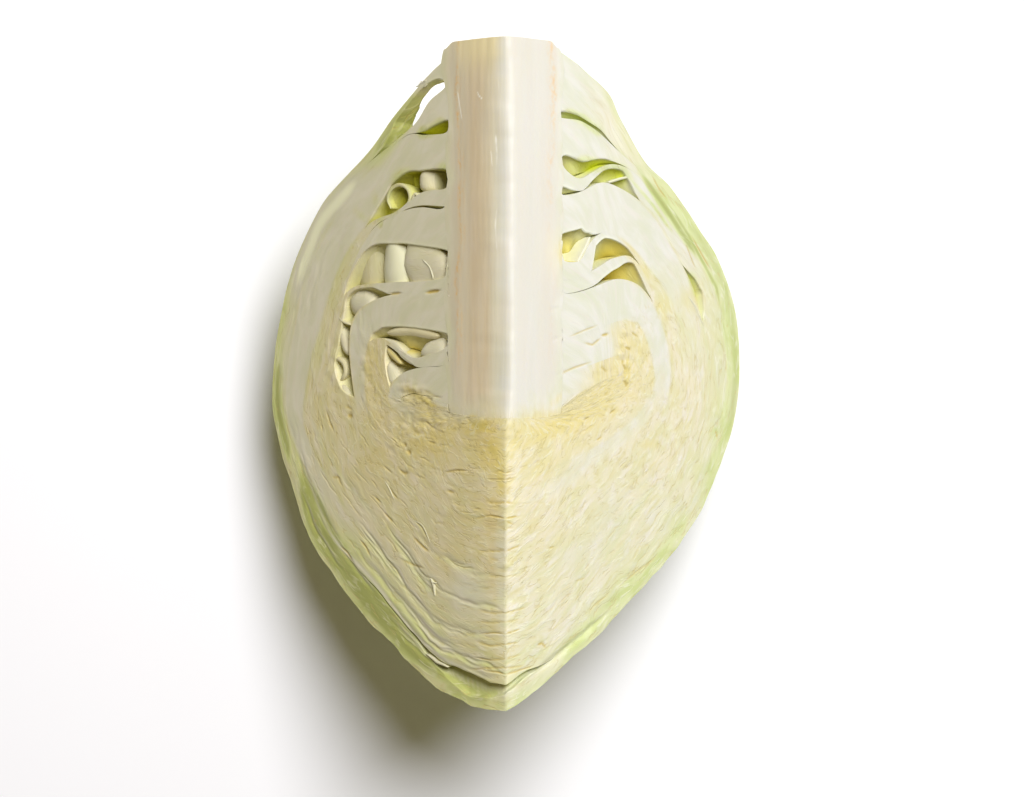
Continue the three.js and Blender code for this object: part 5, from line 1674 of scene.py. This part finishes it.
wood = wires.mix(wires.ramp(given["White"], 0.9, 1.35), wood, (0.90, 0.88, 0.80))
wires.put(result["Color"], wood)
wires.put(result["Height"], wires.times(grain, 0.09))
print(core_tree.name, len(core_tree.nodes), "nodes")

# %% [markdown]
# ## Veins of the outer skin
# From behind, the outermost leaf shows its back: a midrib, side veins that leave it on both sides
# at a slant, and a fine net between them. The side veins are one saw-tooth of lines bent by noise,
# and the net is the borders of Voronoi cells. Its places are stored on the leaf's vertices.

# %% Node group: skin veins
vein_tree, wires, given, result = node_group(
    "skin veins", [("Place", "vector")], [("Vein", "value"), ("Height", "value")])
along = wires.parts(given["Place"])
across = wires.math("ABSOLUTE", along["Y"])
wander = wires.noise(given["Place"], (0.9, 0.9), 3.0, 2.0)
phase = wires.math("SUBTRACT", along["X"], wires.times(across, 0.8))
phase = wires.math("ADD", wires.times(phase, 0.62), wires.times(wander, 0.9))
phase = wires.math("ADD", phase, wires.times(wires.math("GREATER_THAN", along["Y"], 0.0), 0.4))
off = wires.math("ABSOLUTE", wires.math("SUBTRACT", wires.math("FRACT", phase), 0.5))
side_vein = wires.ramp(wires.math("ADD", off, wires.times(across, 0.007)), 0.075, 0.02)
midrib = wires.ramp(wires.math("ADD", across, wires.times(along["X"], 0.03)), 0.8, 0.3)
bent = wires.add("VectorMath", {0: given["Place"], 1: wires.times(wander, 0.8)}, operation="ADD")
cells = wires.add("TexVoronoi", {"Vector": bent.outputs[0], "Scale": 1.7},
                  feature="DISTANCE_TO_EDGE", voronoi_dimensions="2D")
net = wires.ramp(cells.outputs["Distance"], 0.07, 0.0)
strong = wires.math("MAXIMUM", side_vein, midrib)
wires.put(result["Vein"], wires.math("MAXIMUM", strong, wires.times(net, 0.4)))
wires.put(result["Height"], wires.math("ADD", wires.times(strong, 0.6), wires.times(net, 0.15)))
print(vein_tree.name, len(vein_tree.nodes), "nodes")

# %% [markdown]
# ## Painted shade of the two cuts
# The lamp reaches the left cut at a grazing angle and faces the right one, and this shade is also
# painted into the colour: one multiplied tone, which changes from face to face, makes the left cut
# darker and warmer and the right one a little cooler, without two sets of colours.

# %% Node group: painted shade of the two cuts
painted_shade_tree, wires, given, result = node_group(
    "painted face shade", [("Color", "color"), ("Side", "value")], [("Color", "color")])
toned = wires.add("Mix", data_type="RGBA", blend_type="MULTIPLY")
toned.inputs[0].default_value = 1.0
wires.put(toned.inputs[6], given["Color"])
# painted shade: the left cut is multiplied darker and warmer, the right cut a little cooler
wires.put(toned.inputs[7], wires.mix(given["Side"], (0.925, 0.90, 0.805), (0.97, 1.0, 1.08)))
wires.put(result["Color"], toned.outputs[2])
print(painted_shade_tree.name, len(painted_shade_tree.nodes), "nodes")

# %% [markdown]
# ## The flesh material
# Leaves and stalk share one recipe and differ in roughness. It reads what the vertices store, asks
# the groups for leaf flesh, woody core and skin, and mixes them. Light enters wet flesh a little way
# before it comes back, so the shader scatters light below the surface, red and green furthest.

# %% Colours of the flesh material
def place_group(wires, tree, inputs):
    """Place a node group in a material with its inputs wired."""
    made = wires.add("Group", node_tree=tree)
    for label, value in inputs.items():
        wires.put(made.inputs[label], value)
    return made.outputs


def outer_skin(wires, grain):
    """Colour of the outermost leaf's back, its veins' height, and where that skin is."""
    spot = wires.add("Attribute", attribute_name="skin").outputs["Vector"]
    outside = wires.parts(spot)["Z"]
    veins = place_group(wires, vein_tree, {"Place": spot})
    skin = wires.mix(wires.ramp(grain["Cloud"], 0.35, 0.65), (0.60, 0.66, 0.31), (0.48, 0.55, 0.20))
    skin = wires.mix(wires.times(veins["Vein"], 0.8), skin, (0.78, 0.81, 0.58))
    return skin, veins["Height"], outside


def flesh_looks(wires):
    """The colour and height of flesh, as sockets."""
    read = {label: wires.add("Attribute", attribute_name=label).outputs["Vector"]
            for label in ("flow", "make", "cut", "core")}
    make = wires.parts(read["make"])
    cut = wires.parts(read["cut"])
    core = wires.parts(read["core"])
    grain = place_group(wires, grain_tree, {"Flow": read["flow"]})
    shares = {"Rib": make["X"], "Green": make["Y"], "Yellow": make["Z"],
              "Cut": cut["X"], "Slit": cut["Y"], "Brown And Shade": cut["Z"]}
    for label in ("Patch", "Cloud", "Streak", "Bright Line", "Dark Line"):
        shares[label] = grain[label]
    flesh = place_group(wires, flesh_tree, shares)
    wood = place_group(wires, core_tree, {"Flow": read["flow"], "Tan": core["Y"], "Ring": core["Z"],
                                          "Yellow": make["Z"], "White": make["X"]})
    skin, vein_height, outside = outer_skin(wires, grain)
    both = wires.mix(core["X"], flesh["Color"], wood["Color"])
    both = wires.mix(wires.times(outside, 0.85), both, skin)
    # the painted shade of the two cuts is laid over all flesh here
    toned = place_group(wires, painted_shade_tree, {"Color": both, "Side": wires.parts(read["flow"])["Z"]})
    fine = wires.math("SUBTRACT", 1.0, wires.times(make["X"], 0.8, clamp=True))
    leaf_height = wires.times(grain["Height"], fine)
    rise = wires.math("SUBTRACT", wood["Height"], leaf_height)
    height = wires.math("ADD", leaf_height, wires.times(rise, core["X"]))
    height = wires.math("ADD", height, wires.times(vein_height, outside))
    return toned["Color"], height


print("flesh reads flow, make, cut, core and skin from its vertices")

# %% Flesh material
SCATTER = 0.08
SCATTER_DEPTH = 0.0012                               # metres
SCATTER_RADIUS = (1.0, 0.85, 0.4)
WET_SHINE = 0.35


def flesh_material(name, roughness):
    """A material of wet flesh, for leaves or stalk."""
    made = bpy.data.materials.new(name)
    made.use_nodes = True
    wires = Wires(made.node_tree)
    shader = made.node_tree.nodes["Principled BSDF"]
    color, height = flesh_looks(wires)
    bump = wires.add("Bump", {"Distance": MM, "Strength": 0.7, "Height": height})
    wires.put(shader.inputs["Base Color"], color)
    wires.put(shader.inputs["Normal"], bump.outputs["Normal"])
    shader.inputs["Roughness"].default_value = roughness
    shader.inputs["Specular IOR Level"].default_value = WET_SHINE
    shader.inputs["Subsurface Weight"].default_value = SCATTER
    shader.inputs["Subsurface Radius"].default_value = SCATTER_RADIUS
    shader.inputs["Subsurface Scale"].default_value = SCATTER_DEPTH
    return made


leaf_flesh = flesh_material("leaf_flesh", 0.48)
stalk_flesh = flesh_material("stalk_flesh", 0.42)
for piece in leaves + tip_leaves:
    piece.data.materials.append(leaf_flesh)
stalk.data.materials.append(stalk_flesh)
print(leaf_flesh.name, "on", len(leaves + tip_leaves), "pieces,", stalk_flesh.name, "on the stalk")

# %% [markdown]
# ## Floor, light and camera
# The wedge rests on its outermost leaf with both cut faces turned up, and is seen from straight
# above on plain white. One large soft lamp stands behind it and to its right, so both faces are lit
# evenly, the hollows fall into shade and a soft shadow lies in front. A weak warm world light fills
# the shade, as flesh around a hollow would.

# %% Floor
FLOOR_HALF = 1.5                                     # metres
floor_mesh = bpy.data.meshes.new("floor")
bm = bmesh.new()
bmesh.ops.create_grid(bm, x_segments=1, y_segments=1, size=FLOOR_HALF)
bm.to_mesh(floor_mesh)
bm.free()
floor = bpy.data.objects.new("floor", floor_mesh)
bpy.context.scene.collection.objects.link(floor)
white_paper = bpy.data.materials.new("floor")
white_paper.use_nodes = True
paper_shader = white_paper.node_tree.nodes["Principled BSDF"]
paper_shader.inputs["Base Color"].default_value = (0.9, 0.9, 0.9, 1.0)
paper_shader.inputs["Roughness"].default_value = 0.5
floor_mesh.materials.append(white_paper)
print("floor %.1f m wide" % floor.dimensions.x)

# %% Light
KEY_PLACE = (0.335, 0.55, 1.2)
KEY_SIZE = 0.74
KEY_POWER = 24.2
KEY_COLOR = (0.985, 0.985, 1.05)
key_data = bpy.data.lights.new("key", "AREA")
key_data.shape = "DISK"
key_data.size = KEY_SIZE
key_data.energy = KEY_POWER
key_data.color = KEY_COLOR
key = bpy.data.objects.new("key", key_data)
key.location = KEY_PLACE
key.rotation_mode = "QUATERNION"
key.rotation_quaternion = Vector(KEY_PLACE).to_track_quat("Z", "Y")
bpy.context.scene.collection.objects.link(key)
world = bpy.data.worlds.new("world")
world.use_nodes = True
world.node_tree.nodes["Background"].inputs["Color"].default_value = (1.0, 0.84, 0.46, 1.0)
world.node_tree.nodes["Background"].inputs["Strength"].default_value = 0.15
bpy.context.scene.world = world
bpy.context.scene.view_settings.view_transform = "Standard"
print("key lamp %.2f m wide, %.1f W" % (key_data.size, key_data.energy))

# %% Camera
CAMERA_RIGHT = 1.44                                  # mm to the right of the knife edge
CAMERA_V = 80.4                                      # mm below the stalk's cut end
CAMERA_ABOVE_EDGE = 652.7
LENS = 103.7
camera_data = bpy.data.cameras.new("camera")
camera_data.lens = LENS
camera_data.sensor_width = 36.0
camera = bpy.data.objects.new("camera", camera_data)
camera_place = (EDGE_X + CAMERA_RIGHT, STALK_Y - CAMERA_V, EDGE_Z + CAMERA_ABOVE_EDGE)
camera.location = [distance * MM for distance in camera_place]
bpy.context.scene.collection.objects.link(camera)
bpy.context.scene.camera = camera
print("camera looks straight down from %.2f m" % camera.location.z)
